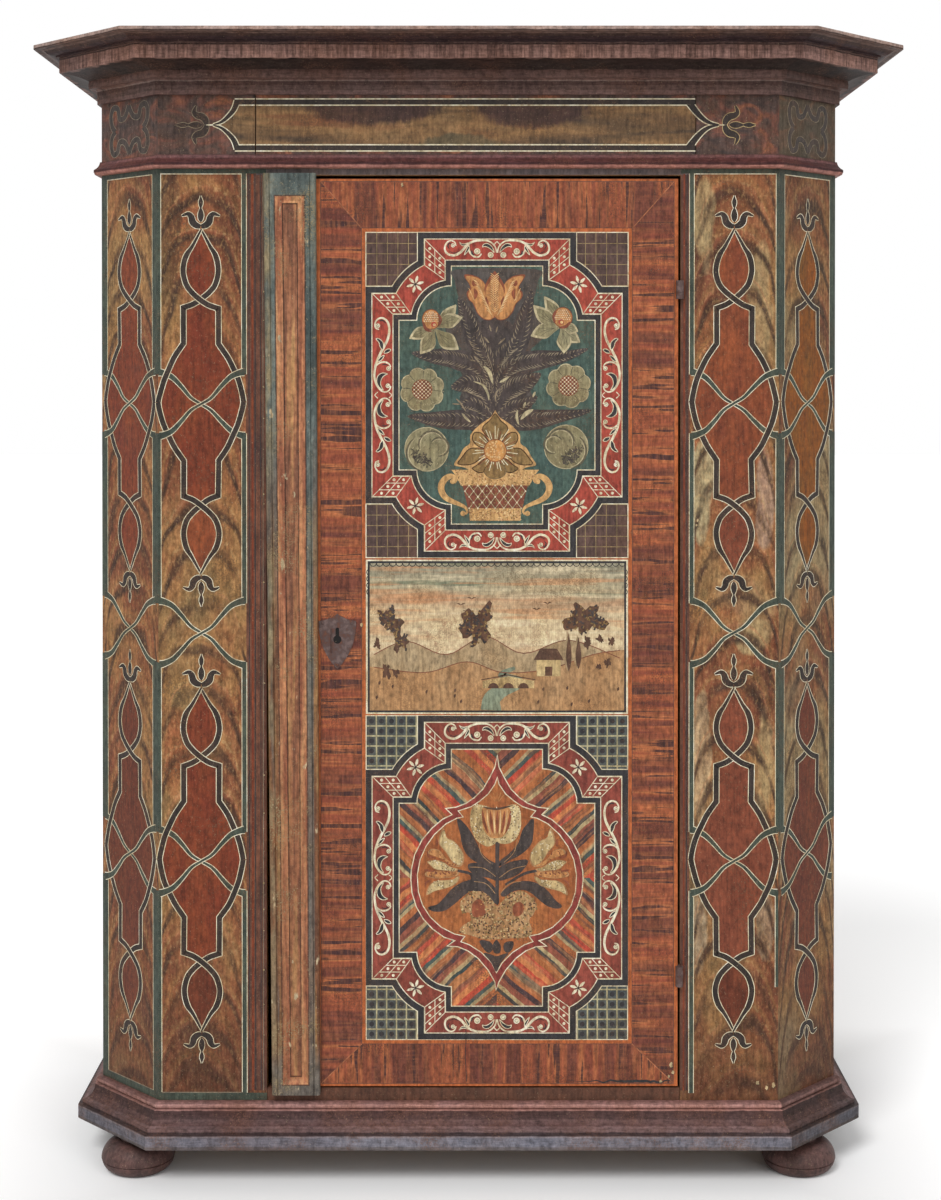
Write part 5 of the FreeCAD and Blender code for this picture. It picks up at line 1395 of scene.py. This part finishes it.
def vase(brush, level):
    """A basket vase with scrolled handles under a large domed flower."""
    for flip in (False, True):
        half = brush.at((0.0, 0.0), flip)
        half.stroke("gold_rim", smooth(HANDLE, 5), lambda t: 3.4 + 7.6 * math.sin(math.pi * t ** 0.85) ** 2,
                    level)
        for ball in ((70.6, -143.4), (53.6, -196.6)):
            half.spot("gold_rim", ball, 4.4, level + 2, 16)
    brush.fill("gold_rim", VASE_RIM, level + 1)
    brush.fill("core", VASE_BODY, level + 1)
    brush.fill("gold_rim", [(-43.5, -188.0), (43.5, -188.0), (42.0, -208.5), (-42.0, -208.5)], level + 1)
    brush.speckle("olive", VASE_BODY, 90, 2.8, level + 2, 0.4)
    basket_lattice(brush, level + 3)
    outline = smooth(DOME, 4)
    brush.fill("gold_rim", outline + [(-u, v) for u, v in outline[-2:0:-1]], level + 4)
    for central, rim, lobe in DOME_LOBES:
        for flip in (False,) if central else (False, True):
            half = brush.at((0.0, 0.0), flip)
            half.ring(rim, rounded(lobe), 1.5, level + 5)
            half.fill("olive", rounded(lobe), level + 5)
    for i in range(44):
        a = math.radians(360.0 / 44.0 * i)
        reach = 23.0 + 4.0 * (i % 4) + 3.0 * math.cos(a) ** 2 + (6.0 if math.sin(a) > 0.6 else 0.0)
        brush.stroke("cream" if i % 3 else "tulip_dark", [polar(a, 19.5, HEART), polar(a, reach, HEART)], 1.2,
                     level + 6)
    brush.spot("tulip_dark", HEART, 19.0, level + 6, 28)
    brush.spot("gold", HEART, 18.0, level + 7, 28)
    brush.speckle("tulip_rib", [polar(0.5 * i, 16.0, HEART) for i in range(12)], 60, 3.2, level + 8, 0.3)
    foot = [(-43.5, -189.0), (43.5, -189.0), (42.0, -207.0), (-42.0, -207.0)]
    for outline, count in ((VASE_RIM, 130), (foot, 80)):
        brush.speckle("tulip_dark", outline, count // 2, 2.0, level + 2, 0.1)
        brush.speckle("olive", outline, count // 2, 2.6, level + 2, 0.5)
        brush.speckle("tulip_rib", outline, count, 2.6, level + 3, 0.7)


RAY_PITCH = 0.128                   # metres in which the stripes of the lower field start again


def rays(name, middle):
    """Slanting stripes that run out from the middle of the lower field to its corners."""
    finish = Finish(name)
    across, level = finish.along(ACROSS, middle[0] * MM), finish.along(UP, middle[1] * MM)
    u, v = abs(across), abs(level)
    # the stripes start at another place in each quarter
    quarter = finish.step(across, -1e-5, 1e-5) + finish.step(level, -1e-5, 1e-5) * 2.0
    bend = finish.noise(9.0, 2.0, offset=3.0) * 0.018
    ragged = finish.noise(38.0, 4.0, offset=9.0) * 0.008
    slant = v - u * 0.92 + bend + ragged
    share = (slant / RAY_PITCH + quarter * 0.37 + 8.0).fraction()
    colour = finish.ramp(share, (0.0, "a4643c"), (0.08, "b2503d"), (0.17, "c67c4d"), (0.27, "b44836"),
                         (0.37, "45534f"), (0.44, "a1906c"), (0.50, "a4623c"), (0.60, "463638"),
                         (0.69, "8a5040"), (0.80, "ab9770"), (0.87, "394342"), (0.93, "a4643c"),
                         constant=True)
    colour = finish.dabs(colour, "7a4a35", 0.45, 0.48, 0.62, 60.0, 4.0, offset=5.0)
    for code, strength, start, end, scale, run, offset in (("c08a5c", 0.4, 0.54, 0.62, 70.0, u, 2.0),
                                                           ("4e3c38", 0.6, 0.56, 0.64, 60.0, v, 8.0)):
        streaks = finish.value("ShaderNodeCombineXYZ", {0: slant, 1: run * 0.12})
        colour = finish.dabs(colour, code, strength, start, end, scale, 3.0, place=streaks, offset=offset)
    return finish.aged(colour, "4c3a2c", 0.8, 23.0)


# right half of the medallion's outer edge and of the field inside its band, from its middle line
MEDALLION_EDGE = [(0.6, 204.4), (3.4, 184.7), (11.8, 167.9), (23.1, 148.2), (37.1, 134.1), (51.2, 124.3),
                  (68.1, 117.8), (85.5, 115.6), (74.5, 105.4), (90.6, 97.6), (107.4, 83.5), (124.3, 63.8),
                  (137.0, 38.5), (142.6, 13.2), (143.4, -3.7), (141.2, -26.2), (134.1, -48.7),
                  (122.9, -68.4), (107.4, -85.2), (87.7, -99.3), (70.3, -104.9), (82.7, -113.9),
                  (65.2, -115.0), (48.4, -121.8), (31.5, -134.4), (14.6, -154.1), (3.4, -173.8),
                  (-1.7, -187.9)]
MEDALLION_FIELD = [(0.6, 167.9), (3.4, 156.1), (14.6, 139.7), (28.7, 127.9), (42.7, 118.7), (64.4, 111.6),
                   (56.2, 101.5), (66.6, 99.5), (84.9, 90.0), (104.1, 72.3), (118.1, 52.6), (128.0, 30.1),
                   (132.5, 4.8), (130.8, -23.4), (123.7, -45.9), (111.1, -65.5), (92.8, -82.4),
                   (70.9, -93.7), (53.4, -97.6), (60.2, -106.6), (45.6, -111.9), (25.9, -124.6),
                   (9.0, -141.5), (-0.8, -158.3)]
MEDALLION_LEAVES = [
    [(-64.2, 96.2), (-59.5, 75.1), (-55.8, 55.4), (-49.3, 41.3), (-37.5, 30.1), (-20.7, 23.0),
     (-1.0, 14.6), (-1.0, 21.1), (-16.4, 29.5), (-27.7, 41.3), (-35.3, 56.8), (-43.2, 72.3), (-53.0, 86.3)],
    [(59.5, 96.2), (58.7, 75.1), (56.7, 61.0), (49.7, 49.8), (35.6, 38.5), (21.5, 31.5), (4.7, 21.1),
     (6.9, 27.3), (19.3, 37.1), (29.4, 46.9), (37.8, 58.2), (44.0, 77.9), (52.5, 89.1)],
    [(-46.0, 21.1), (-29.1, 23.0), (-12.2, 17.4), (-1.0, 10.4), (-1.0, -2.3), (-12.2, 1.4), (-29.1, 5.3),
     (-41.7, 10.9)],
    [(49.7, 27.3), (35.6, 27.3), (18.7, 23.0), (3.3, 13.2), (3.3, -2.3), (21.5, 1.9), (38.4, 10.4)],
    [(-112.0, -50.1), (-98.0, -45.9), (-85.3, -33.2), (-72.7, -19.1), (-57.2, -9.3), (-41.7, -3.7),
     (-41.7, 5.3), (-23.5, -0.9), (-9.4, -12.1), (0.4, -26.2), (0.4, -43.0), (-12.2, -29.0),
     (-26.3, -22.0), (-43.2, -20.5), (-57.2, -29.0), (-71.3, -41.6), (-88.1, -52.9), (-103.6, -54.3)],
    [(105.9, -47.3), (96.1, -38.8), (84.8, -24.8), (72.1, -13.8), (55.3, -7.9), (38.4, -7.9),
     (24.3, -12.7), (8.9, -26.2), (13.1, -29.0), (27.2, -20.5), (44.0, -18.3), (58.1, -23.9),
     (69.3, -33.2), (83.4, -44.5), (97.5, -49.2)]]
TOP_TULIP = [(-1.0, 116.7), (-12.2, 117.8), (-29.1, 122.3), (-40.3, 117.8), (-44.6, 103.2), (-43.2, 83.5),
             (-34.7, 63.8), (-17.8, 52.6), (-5.2, 55.4), (-0.1, 60.4), (4.7, 57.6), (17.3, 56.8),
             (30.5, 63.8), (39.0, 80.7), (40.1, 100.4), (37.0, 117.8), (27.2, 122.3), (10.3, 117.8)]
TOP_TULIP_HEART = [(-23.5, 116.7), (-24.9, 100.4), (-22.1, 80.7), (-12.2, 68.0), (-1.0, 66.1),
                   (10.3, 69.4), (19.3, 83.5), (22.1, 100.4), (20.4, 116.7), (-1.0, 114.4)]
SIDE_TULIP = [
    ("tan", [(-58.6, 20.2), (-54.4, 30.1), (-55.8, 41.3), (-62.8, 52.6), (-72.7, 62.4), (-83.9, 68.0),
             (-89.6, 83.5), (-96.6, 66.6), (-96.0, 55.4), (-85.3, 42.7), (-75.5, 27.3), (-65.6, 19.4)]),
    ("tulip", [(-61.4, 18.3), (-72.7, 24.4), (-85.3, 32.9), (-95.2, 45.5), (-109.2, 48.3), (-114.9, 41.3),
               (-106.4, 37.1), (-88.1, 30.1), (-76.9, 20.2)]),
    ("tan", [(-64.2, 14.6), (-76.9, 18.3), (-88.1, 25.9), (-102.2, 30.1), (-116.3, 27.3), (-112.0, 21.6),
             (-102.2, 13.8), (-85.3, 11.8), (-71.3, 10.4)]),
    ("tulip", [(-64.2, 9.8), (-82.5, 9.8), (-96.6, 11.8), (-116.3, 10.4), (-119.1, 3.4), (-102.2, -0.9),
               (-79.7, 0.5), (-65.6, 4.2)]),
    ("tan", [(-62.8, 3.4), (-72.7, -2.3), (-88.1, -3.7), (-102.2, -5.1), (-113.5, -13.5), (-117.7, -29.0),
             (-105.0, -22.8), (-85.3, -17.7), (-71.3, -12.1), (-63.4, -3.7)])]
SIDE_CURLS = [
    [(-100.0, 65.2), (-99.4, 52.6)],
    [(-116.3, 45.5), (-113.5, 35.7), (-102.2, 33.4)],
    [(-120.5, 13.2), (-113.5, 11.8), (-106.4, 10.9)],
    [(-119.6, -14.9), (-117.7, -7.9), (-110.6, -3.7)]]
POT = [(-61.4, -43.0), (-54.4, -33.2), (-40.3, -23.4), (-23.5, -23.4), (-10.8, -33.2), (0.4, -47.3),
       (11.7, -36.0), (27.2, -23.9), (44.0, -22.8), (55.3, -30.4), (66.0, -44.5), (61.5, -59.9),
       (53.9, -71.2), (58.7, -89.4), (49.7, -99.3), (27.2, -100.7), (1.8, -102.7), (-23.5, -102.1),
       (-41.7, -96.5), (-61.4, -91.4), (-57.8, -80.2), (-43.7, -71.7), (-46.0, -58.5), (-57.8, -57.1)]
POT_HOLES = [
    [(-39.8, -41.6), (-29.1, -35.2), (-20.7, -45.9), (-20.1, -61.3), (-37.5, -65.5), (-41.7, -54.3)],
    [(27.2, -45.9), (38.4, -40.2), (46.0, -49.2), (39.0, -62.7), (27.7, -62.7)]]
CALYX = [
    [(-1.0, -156.9), (-9.4, -141.5), (-22.1, -126.0), (-10.8, -127.4), (-1.0, -130.8), (10.3, -127.4),
     (19.3, -126.3), (6.9, -141.5)],
    [(-29.1, -104.9), (-12.2, -106.3), (-6.0, -116.2), (-12.2, -125.2), (-20.7, -120.4)],
    [(-1.0, -103.5), (6.3, -113.4), (4.7, -125.2), (-4.3, -125.2), (-7.2, -113.4)],
    [(13.1, -108.3), (27.2, -106.3), (25.7, -119.0), (17.3, -125.2), (11.1, -119.0)]]
MEDALLION_STEMS = [
    [(-65.6, 11.8), (-43.0, 6.2), (-14.0, -14.0)],
    [(66.5, 11.8), (44.0, 6.2), (14.0, -12.0)]]
MEDALLION_VEINS = [
    [(-46.0, 18.0), (-22.0, 16.0), (-2.0, 2.0)], [(48.0, 20.0), (24.0, 14.0), (4.0, 0.0)],
    [(-38.0, -6.0), (-18.0, -10.0), (-3.0, -26.0)], [(40.0, -6.0), (20.0, -10.0), (6.0, -26.0)],
    [(-30.0, 64.0), (-26.0, 40.0), (-10.0, 24.0)], [(34.0, 64.0), (28.0, 42.0), (12.0, 26.0)]]


def upright_tulip(brush, level):
    """The medallion's upright tulip."""
    top, heart = rounded(TOP_TULIP), rounded(TOP_TULIP_HEART)
    brush.fill("tan", top, level + 2)
    brush.fill("tulip", heart, level + 3)
    for colour, width, places, spread, start, end in (
            ("tulip_dark", 4.4, (-21.0, -9.5, 0.5, 11.0, 20.0), 1.15, 112.0, 74.0),
            ("tulip_rib", 2.2, (-15.0, -4.5, 5.5, 15.5), 1.1, 114.0, 72.0)):
        for u in places:
            brush.stroke(colour, smooth([(u * spread, start), (u, 92.0), (0.7 * u, end)], 6), blade(width),
                         level + 4)
    brush.speckle("tree", top, 160, 2.0, level + 4, 0.2, [heart])
    brush.speckle("cream", top, 90, 2.2, level + 5, 0.6, [heart])
    brush.stroke("tree", smooth([(-24.0, 118.0), (0.0, 115.0), (27.0, 121.0)], 5), blade(3.6), level + 4)
    for angle in (50.0, 70.0, 90.0, 110.0, 130.0):
        line = [polar(math.radians(angle), reach, (0.0, 124.0)) for reach in (4.0, 19.0)]
        brush.stroke("tulip", line, 1.4, level + 2)


def side_tulip(brush, level):
    """One of the medallion's two drooping tulips: five petals in turn tan and orange, with curls."""
    for order, (colour, outline) in enumerate(SIDE_TULIP):
        part = rounded(outline)
        brush.fill("hill", part, level + 2 + order % 2)
        u0, v0 = (sum(point[axis] for point in part) / len(part) for axis in (0, 1))
        small = [(u0 + 0.9 * (u - u0), v0 + 0.9 * (v - v0)) for u, v in part]
        brush.fill(colour, small, level + 3 + order % 2)
        if colour == "tan":
            brush.speckle("tree", small, 46, 1.7, level + 5, 0.1 * order)
            brush.speckle("cream", small, 26, 2.2, level + 6, 0.3 * order)
        else:
            brush.speckle("core", small, 30, 2.6, level + 5, 0.2 * order)
    for line in SIDE_CURLS:
        brush.stroke("tulip_dark", smooth(line, 5), blade(3.0), level + 6)


def medallion(brush):
    """The pointed medallion on the lower field, with three tulips over a footed pot."""
    edge, field = (half + [(-u, v) for u, v in half[-2:0:-1]] for half in (MEDALLION_EDGE, MEDALLION_FIELD))
    brush.fill("medallion_red", edge, 14)
    brush.fill("medallion", field, 15)
    brush.ring("cream", edge, 1.7, 15)
    brush.ring("cream", field, 1.5, 16)
    level = 17
    for outline in MEDALLION_LEAVES:
        brush.fill("leaf", rounded(outline), level)
        brush.ring("leaf", rounded(outline), 4.2, level)
    brush.stroke("leaf", [(1.0, 68.0), (0.4, 20.0), (0.4, -44.0)], lambda t: 7.4 - 2.0 * t, level + 1)
    for line in MEDALLION_STEMS:
        brush.stroke("leaf", smooth(line, 5), 4.6, level + 1)
    for line in MEDALLION_VEINS:
        brush.stroke("hill", smooth(line, 5), 0.9, level + 2)
    upright_tulip(brush, level)
    for flip in (False, True):
        side_tulip(brush.at((0.0, 0.0), flip), level)
    pot, holes = rounded(POT), [rounded(hole) for hole in POT_HOLES]
    brush.fill("hill", pot, level + 2)
    for hole in holes:
        brush.fill("tulip_dark", hole, level + 3)
    brush.speckle("olive", pot, 260, 4.0, level + 3, 0.3, holes)
    brush.speckle("tree", pot, 200, 3.4, level + 4, 0.4, holes)
    brush.speckle("tan", pot, 200, 2.8, level + 4, 0.8, holes)
    brush.speckle("tulip", pot, 60, 3.0, level + 5, 0.5)
    for outline in CALYX:
        brush.fill("leaf", rounded(outline), level + 2)


# ---------------------------------------------------------------- middle landscape
SCENE_LOW, SCENE_HIGH = 779.0, 1030.0
SCENE_HALF = PICTURE_HALF - 0.5
SKY_HALF = SCENE_HALF - 6.5         # half the width of the painted sky, inside its frame
SCALLOP, SCALLOP_PITCH = 5.2, 10.9  # radius and pitch of the black scallops along the frame
HILL_REACH, HILL_LINE_REACH = 212.0, 205.0   # from the middle to the ends of a hill and of its dark line
# each hill: its colour, its outline, and the heights of the hill and of its dark line at the two ends
HILLS = (("far_hill", [(-150.0, 118.0), (-84.0, 96.0), (-20.0, 126.0), (44.0, 98.0), (120.0, 120.0)],
          (92.0, 88.0), (96.0, 90.0)),
         ("hill", [(-120.0, 66.0), (-50.0, 84.0), (10.0, 66.0), (86.0, 72.0), (160.0, 96.0)],
          (76.0, 104.0), (75.0, 103.0)))
# place, half width, half height, seed
BUSHES = ((-182.0, 150.0, 20.0, 25.0, 1.0), (-163.0, 118.0, 12.0, 17.0, 2.0), (-200.0, 112.0, 6.0, 9.0, 9.0),
          (-30.0, 146.0, 34.0, 40.0, 3.0), (150.0, 156.0, 34.0, 25.0, 4.0), (150.0, 117.0, 7.0, 9.0, 5.0),
          (172.0, 121.0, 6.0, 8.0, 6.0), (190.0, 118.0, 6.0, 9.0, 7.0), (-184.0, 70.0, 7.0, 13.0, 8.0),
          (-168.0, 66.0, 5.0, 9.0, 10.0), (168.0, 76.0, 5.0, 8.0, 11.0), (184.0, 82.0, 5.0, 9.0, 12.0))


def sky_and_ground(name):
    """Pale canvas ground: green-grey and peach brushed across the sky, tan below."""
    finish = Finish(name)
    height = finish.along(UP)
    wisps = finish.noise(9.0, 5.0, (0.35, 1.0, 5.0), 6.0, 0.5)
    strokes = finish.noise(16.0, 5.0, (0.3, 1.0, 5.0), 16.0, 0.3)
    lifted = height + (wisps - 0.5) * 0.05
    share = finish.step(lifted, SCENE_LOW * MM, SCENE_HIGH * MM)
    colour = finish.ramp(share, (0.0, "b09470"), (0.22, "c0a47e"), (0.40, "cdb896"), (0.64, "c9b490"),
                         (0.73, "b08c6c"), (0.80, "aea284"), (0.92, "95907a"))
    high_up = finish.step(height, (SCENE_HIGH - 80.0) * MM, (SCENE_HIGH - 40.0) * MM)
    colour = finish.mix(finish.step(wisps, 0.53, 0.60) * high_up * 0.8, colour, "6f7862")
    over_ground = finish.step(height, (SCENE_LOW + 60.0) * MM, (SCENE_LOW + 150.0) * MM)
    colour = finish.mix(finish.step(strokes, 0.52, 0.62) * over_ground * 0.55, colour, "bd8258")
    colour = finish.mix(finish.step(strokes, 0.46, 0.36) * 0.5, colour, "e0cfae")
    weave = finish.value("ShaderNodeTexWave", {"Vector": finish.place, "Scale": 90.0, "Distortion": 3.0},
                         "Fac", bands_direction="X")
    colour = finish.mix(weave * 0.14, colour, "6f5a3c")
    return finish.aged(colour, "6b5138", 0.6, 29.0, (2.0, 2.0, 20.0), 0.18)


def bush(brush, centre, width, tall, seed):
    """A ragged mass of dark brown foliage, brushed on in short dabs."""
    rim = []
    for i in range(40):
        a = math.radians(9.0 * i)
        ragged = noise.noise(Vector((*polar(a, 1.5), 4.3 * seed)))
        reach = 0.82 + 0.9 * ragged + 0.12 * math.sin(11.0 * a + seed)
        rim.append(polar(a, width * reach, centre, tall * reach))
    brush.fill("tree", rim, 9)
    if width > 10.0:
        brush.speckle("olive", rim, int(2.2 * width), 4.0, 10, seed)
        brush.speckle("leaf", rim, int(2.2 * width), 5.0, 11, seed + 0.5)


def picture_frame(brush, high):
    """The picture's cream and black edge, its ground, and black scallops along its upper part."""
    brush.rect("cream", -SCENE_HALF, SCENE_HALF, -3.0, high + 3.0, 2)
    brush.rect("black", 3.0 - SCENE_HALF, SCENE_HALF - 3.0, -0.5, high + 0.5, 3)
    brush.rect("sky", -SKY_HALF, SKY_HALF, 3.0, high - 3.0, 4)
    for i in range(39):
        centre = (5.6 - SKY_HALF + SCALLOP_PITCH * i, high - 3.0)
        brush.stroke("black", arc(centre, SCALLOP, 180.0, 360.0, 8), 1.3, 5)
    for side in (-1.0, 1.0):
        start = 90.0 + 90.0 * (1.0 + side)
        for i in range(4):
            centre = (side * SKY_HALF, high - 18.0 - SCALLOP_PITCH * i)
            brush.stroke("black", arc(centre, SCALLOP, start, start + 180.0, 8)[1:-1], 1.3, 5)


def landscape(door):
    """A river valley of the painter's stock kind: hills, round trees, an arched bridge and a barn."""
    brush = door.at((PICTURE_MIDDLE, SCENE_LOW))
    picture_frame(brush, SCENE_HIGH - SCENE_LOW)
    for order, (colour, line, (left, right), _) in enumerate(HILLS):
        edge = smooth([(-HILL_REACH, left)] + line + [(HILL_REACH, right)], 6)
        edge = [(clamped(u, SKY_HALF), v) for u, v in edge]
        brush.fill(colour, edge + [(SKY_HALF, 3.0), (-SKY_HALF, 3.0)], 5 + order)
    river = smooth([(30.0, 74.0), (8.0, 62.0), (36.0, 50.0), (8.0, 36.0), (-8.0, 22.0), (-10.0, 3.5)], 8)
    brush.stroke("water", river, lambda t: 5.0 + 30.0 * t, 7)
    for _, line, _, (left, right) in HILLS:
        path = [(-HILL_LINE_REACH, left)] + line + [(HILL_LINE_REACH, right)]
        brush.stroke("core", smooth(path, 6), 1.3, 8)
    for u, v, width, tall, seed in BUSHES:
        bush(brush, (u, v), width, tall, seed)
    # two cypresses, the bridge and its arches, the barn, birds, and reeds on both banks
    for u, v, size in ((118.0, 74.0, 60.0), (134.0, 78.0, 50.0)):
        brush.stroke("far_hill", bowed((u, v - 6.0), (u, v + size)), blade(13.0, 0.4), 8)
        brush.stroke("tree", bowed((u + 1.5, v - 6.0), (u + 1.5, v + size - 3.0)), blade(9.0, 0.4), 9)
    brush.fill("tan", [(-24.0, 40.0), (62.0, 40.0), (62.0, 52.0), (19.0, 60.0), (-24.0, 52.0)], 8)
    brush.stroke("tree", [(-26.0, 54.0), (19.0, 62.0), (64.0, 54.0)], 1.6, 9)
    for u in (-6.0, 19.0, 44.0):
        brush.fill("tree", arc((u, 39.8), 9.0, 0.0, 180.0, 12), 9)
    brush.rect("tan", 66.0, 106.0, 60.0, 88.0, 10)
    brush.fill("tree", [(61.0, 87.0), (111.0, 87.0), (100.0, 106.0), (72.0, 106.0)], 11)
    brush.rect("tree", 80.0, 92.0, 60.5, 76.0, 11)
    for u, v in ((-60.0, 178.0), (-42.0, 188.0), (-50.0, 166.0), (66.0, 170.0), (84.0, 180.0)):
        for side in (-1.0, 1.0):
            brush.stroke("tree", bowed((u, v), (u + side * 7.0, v + 3.0), 0.2 * side), blade(1.6), 6)
    for i in range(34):
        u = 380.0 * noise.noise(Vector((i * 0.83, 1.0, 5.0)))
        v = 28.0 + 60.0 * noise.noise(Vector((i * 1.37, 2.0, 8.0)))
        if 56.0 < abs(u) < SKY_HALF - 6.0 and v < 56.0:
            brush.stroke("tree", bowed((u, v), (u + 2.0, v + 7.0), 0.1), blade(3.4), 8)


# ---------------------------------------------------------------- wear
def chip(brush, centre, size, seed, level=4):
    """A flake of lost paint that shows pale wood, with a dark lower edge of painted shade."""
    flake = []
    for i in range(14):
        a = 2.0 * math.pi * i / 14.0
        reach = size * (0.75 + 0.6 * noise.noise(Vector((*polar(a, 1.4), seed))))
        flake.append(polar(a, 0.8 * reach, centre, reach))
    # painted shade: a black copy of the flake, set a little right and down, shows as its dark lower edge
    brush.fill("black", shifted(flake, 0.5, -0.7), level)
    brush.fill("chip", flake, level + 1)


# ---------------------------------------------------------------- stage, light and camera
FLOOR_REACH = 30.0             # metres
FLOOR_LIFT = 0.33              # brings the lit floor up to white for the camera, away from the object
AMBIENT = 0.44                 # strength of the even light from all round
CAMERA_DISTANCE = 3.151        # metres in front of the wardrobe's front
CAMERA_HEIGHT = 1.332
CAMERA_PITCH = 0.49            # degrees down


def stage():
    """Plain pale floor that keeps the shadow."""
    floor = bpy.data.meshes.new("floor")
    corners = ((-1.0, -1.0), (1.0, -1.0), (1.0, 1.0), (-1.0, 1.0))
    floor.from_pydata([(u * FLOOR_REACH, v * FLOOR_REACH, 0.0) for u, v in corners], [], [(0, 1, 2, 3)])
    paper = Finish("floor_paper", 0.9, shine=0.5)
    paper.shader.inputs["Base Color"].default_value = (0.9, 0.9, 0.9, 1.0)
    paper.shader.inputs["Emission Color"].default_value = WHITE
    seen = paper.value("ShaderNodeLightPath", output="Is Camera Ray")
    # 0 under the object, rising to 1 a little way out from it
    beside = paper.step(abs(paper.along(ACROSS)), 0.55, 0.95)
    before = paper.step(abs(paper.along(INWARD)), 0.24, 0.55)
    paper.feed("Emission Strength", seen * FLOOR_LIFT * beside.most(before))
    floor.materials.append(paper.material)
    placed("floor", floor)


def surround():
    """Even light from all round, and white for the camera, in reflections and through glass."""
    world = bpy.data.worlds.new("studio")
    bpy.context.scene.world = world
    world.use_nodes = True
    sky = Nodes(world.node_tree)
    path = sky.node("ShaderNodeLightPath")
    camera_ray, glossy_ray, transmission_ray = (Value(sky, path.outputs[name]) for name in (
        "Is Camera Ray", "Is Glossy Ray", "Is Transmission Ray"))
    strength = sky.step(camera_ray.most(glossy_ray).most(transmission_ray), 0.0, 1.0, AMBIENT, 1.0)
    light = sky.value("ShaderNodeBackground", {"Color": WHITE, "Strength": strength})
    sky.node("ShaderNodeOutputWorld", {0: light})


def lamp(name, azimuth, elevation, strength, softness):
    """A distant soft lamp; azimuth 0 shines along +Y, as the camera looks."""
    data = bpy.data.lights.new(name, "SUN")
    data.energy, data.angle = strength, math.radians(softness)
    a, e = math.radians(azimuth), math.radians(elevation)
    towards = Vector((math.sin(a) * math.cos(e), -math.cos(a) * math.cos(e), math.sin(e)))
    placed(name, data).rotation_euler = towards.to_track_quat("Z", "Y").to_euler()


def camera():
    """The view from the front, a little above the middle."""
    data = bpy.data.cameras.new("camera")
    data.sensor_width, data.lens = 36.0, 56.88
    data.shift_x, data.shift_y = 0.0017, -0.17
    piece = placed("camera", data)
    piece.location = (0.0, FRONT_Y * MM - CAMERA_DISTANCE, CAMERA_HEIGHT)
    piece.rotation_euler = (math.radians(90.0 - CAMERA_PITCH), 0.0, 0.0)
    bpy.context.scene.camera = piece


# the colours on each body, in the order that their films are made
DOOR_COLOURS = ("cream black deep smoke red teal lattice ochre_line grid dark_teal pale_grid petal petal_rim "
                "petal_dark tulip tulip_dark tulip_rib olive brick leaf hatch gold gold_rim core medallion "
                "medallion_red tan hill far_hill tree water chip").split()
CASE_COLOURS = ("cream dark_band green_band red_fill margin black chip faint ghost hatch lintel rust "
                "brown_fill amber umber tan").split()
# place and size of each chip of lost paint
DOOR_CHIPS = ((338.0, 190.0, 5.0), (341.0, 178.0, 4.0), (334.0, 171.0, 3.0), (-178.0, 925.0, 4.0),
              (320.0, 163.0, 3.5), (-252.0, 166.0, 3.0), (-110.0, 1656.0, 3.6))
STILE_CHIPS = ((482.0, 160.0, 5.0), (497.0, 152.0, 4.0), (508.0, 156.0, 5.0), (381.0, 1098.0, 3.0),
               (379.0, 1090.0, 2.5))


def paint_door():
    """All the ornament that rides on the door."""
    films = paint_set("door", "door_paint", DOOR_COLOURS, "door")
    for name, material in (("bars_level", bars("veneer_upright_bars", "x", 3.0, 0.2)),
                           ("bars_upright", bars("veneer_level_bars", "z", 9.0, 0.05)),
                           ("rays", rays("field_rays", LOWER_FIELD)), ("sky", sky_and_ground("scene_sky"))):
        films[name] = Film("door_" + name, "door", "door_paint", material)
    door = Brush(films, DOOR)
    border_pieces(door)
    cartouche_frame(door, UPPER_FIELD, "grid", "lattice", "red", "teal", 17.5, 1.1, False)
    cartouche_frame(door, LOWER_FIELD, "pale_grid", "dark_teal", "brick", "rays", 16.6, 2.4, True)
    bouquet(door)
    medallion(door.at(LOWER_FIELD))
    landscape(door)
    # painted shade: a near-black sheet on the door under the escutcheon, standing for the dark inside the
    # keyhole
    keyhole = door.at(KEYHOLE)
    keyhole.spot("deep", (0.0, -4.0), 12.0, 3, 24)
    keyhole.rect("deep", -8.0, 8.0, 0.0, 20.0, 3)
    for seed, (u, v, size) in enumerate(DOOR_CHIPS):
        chip(door, (u, v), size, seed)
    # a crack up from the door's foot, and the foot's ragged dark edge
    door.stroke("black", [(-4.6, 257.0), (-4.0, 232.0), (-5.4, 205.0), (-3.2, 163.0)], 1.0, 13)
    ragged = [(165.0 + 6.0 * i, 163.0 + 5.0 * noise.noise(Vector((i * 0.45, 0.0, 3.0)))) for i in range(30)]
    door.stroke("black", ragged, blade(4.0, 0.7), 4)


def paint_case():
    """All the ornament that rides on the case."""
    films = paint_set("case", "panel_paint", CASE_COLOURS, "case")
    films["frieze_field"] = Film("case_frieze_field", "case", "panel_paint", frieze_field())
    case = Brush(films, FRONT)
    upright_panels(case)
    frieze(case)
    for seed, (u, v, size) in enumerate(STILE_CHIPS, 20):
        chip(case, (u, v), size, seed)
    # small chips up the edge beside the door
    for step in range(26):
        place = -340.6 + 2.6 * noise.noise(Vector((step * 1.7, 5.0, 0.0)))
        height = 240.0 + 54.0 * step + 40.0 * noise.noise(Vector((step * 0.9, 9.0, 0.0)))
        chip(case, (place, height), 1.1 + 0.5 * (step % 3), 40 + step)


dress_frame()
paint_case()
paint_door()
for film in Film.every:
    if film.faces:
        film.build()

stage()
surround()
lamp("key_light", -26.0, 48.0, 1.75, 24.0)
lamp("fill_light", 36.0, 30.0, 0.60, 40.0)
camera()
bpy.context.scene.view_settings.view_transform = "Standard"
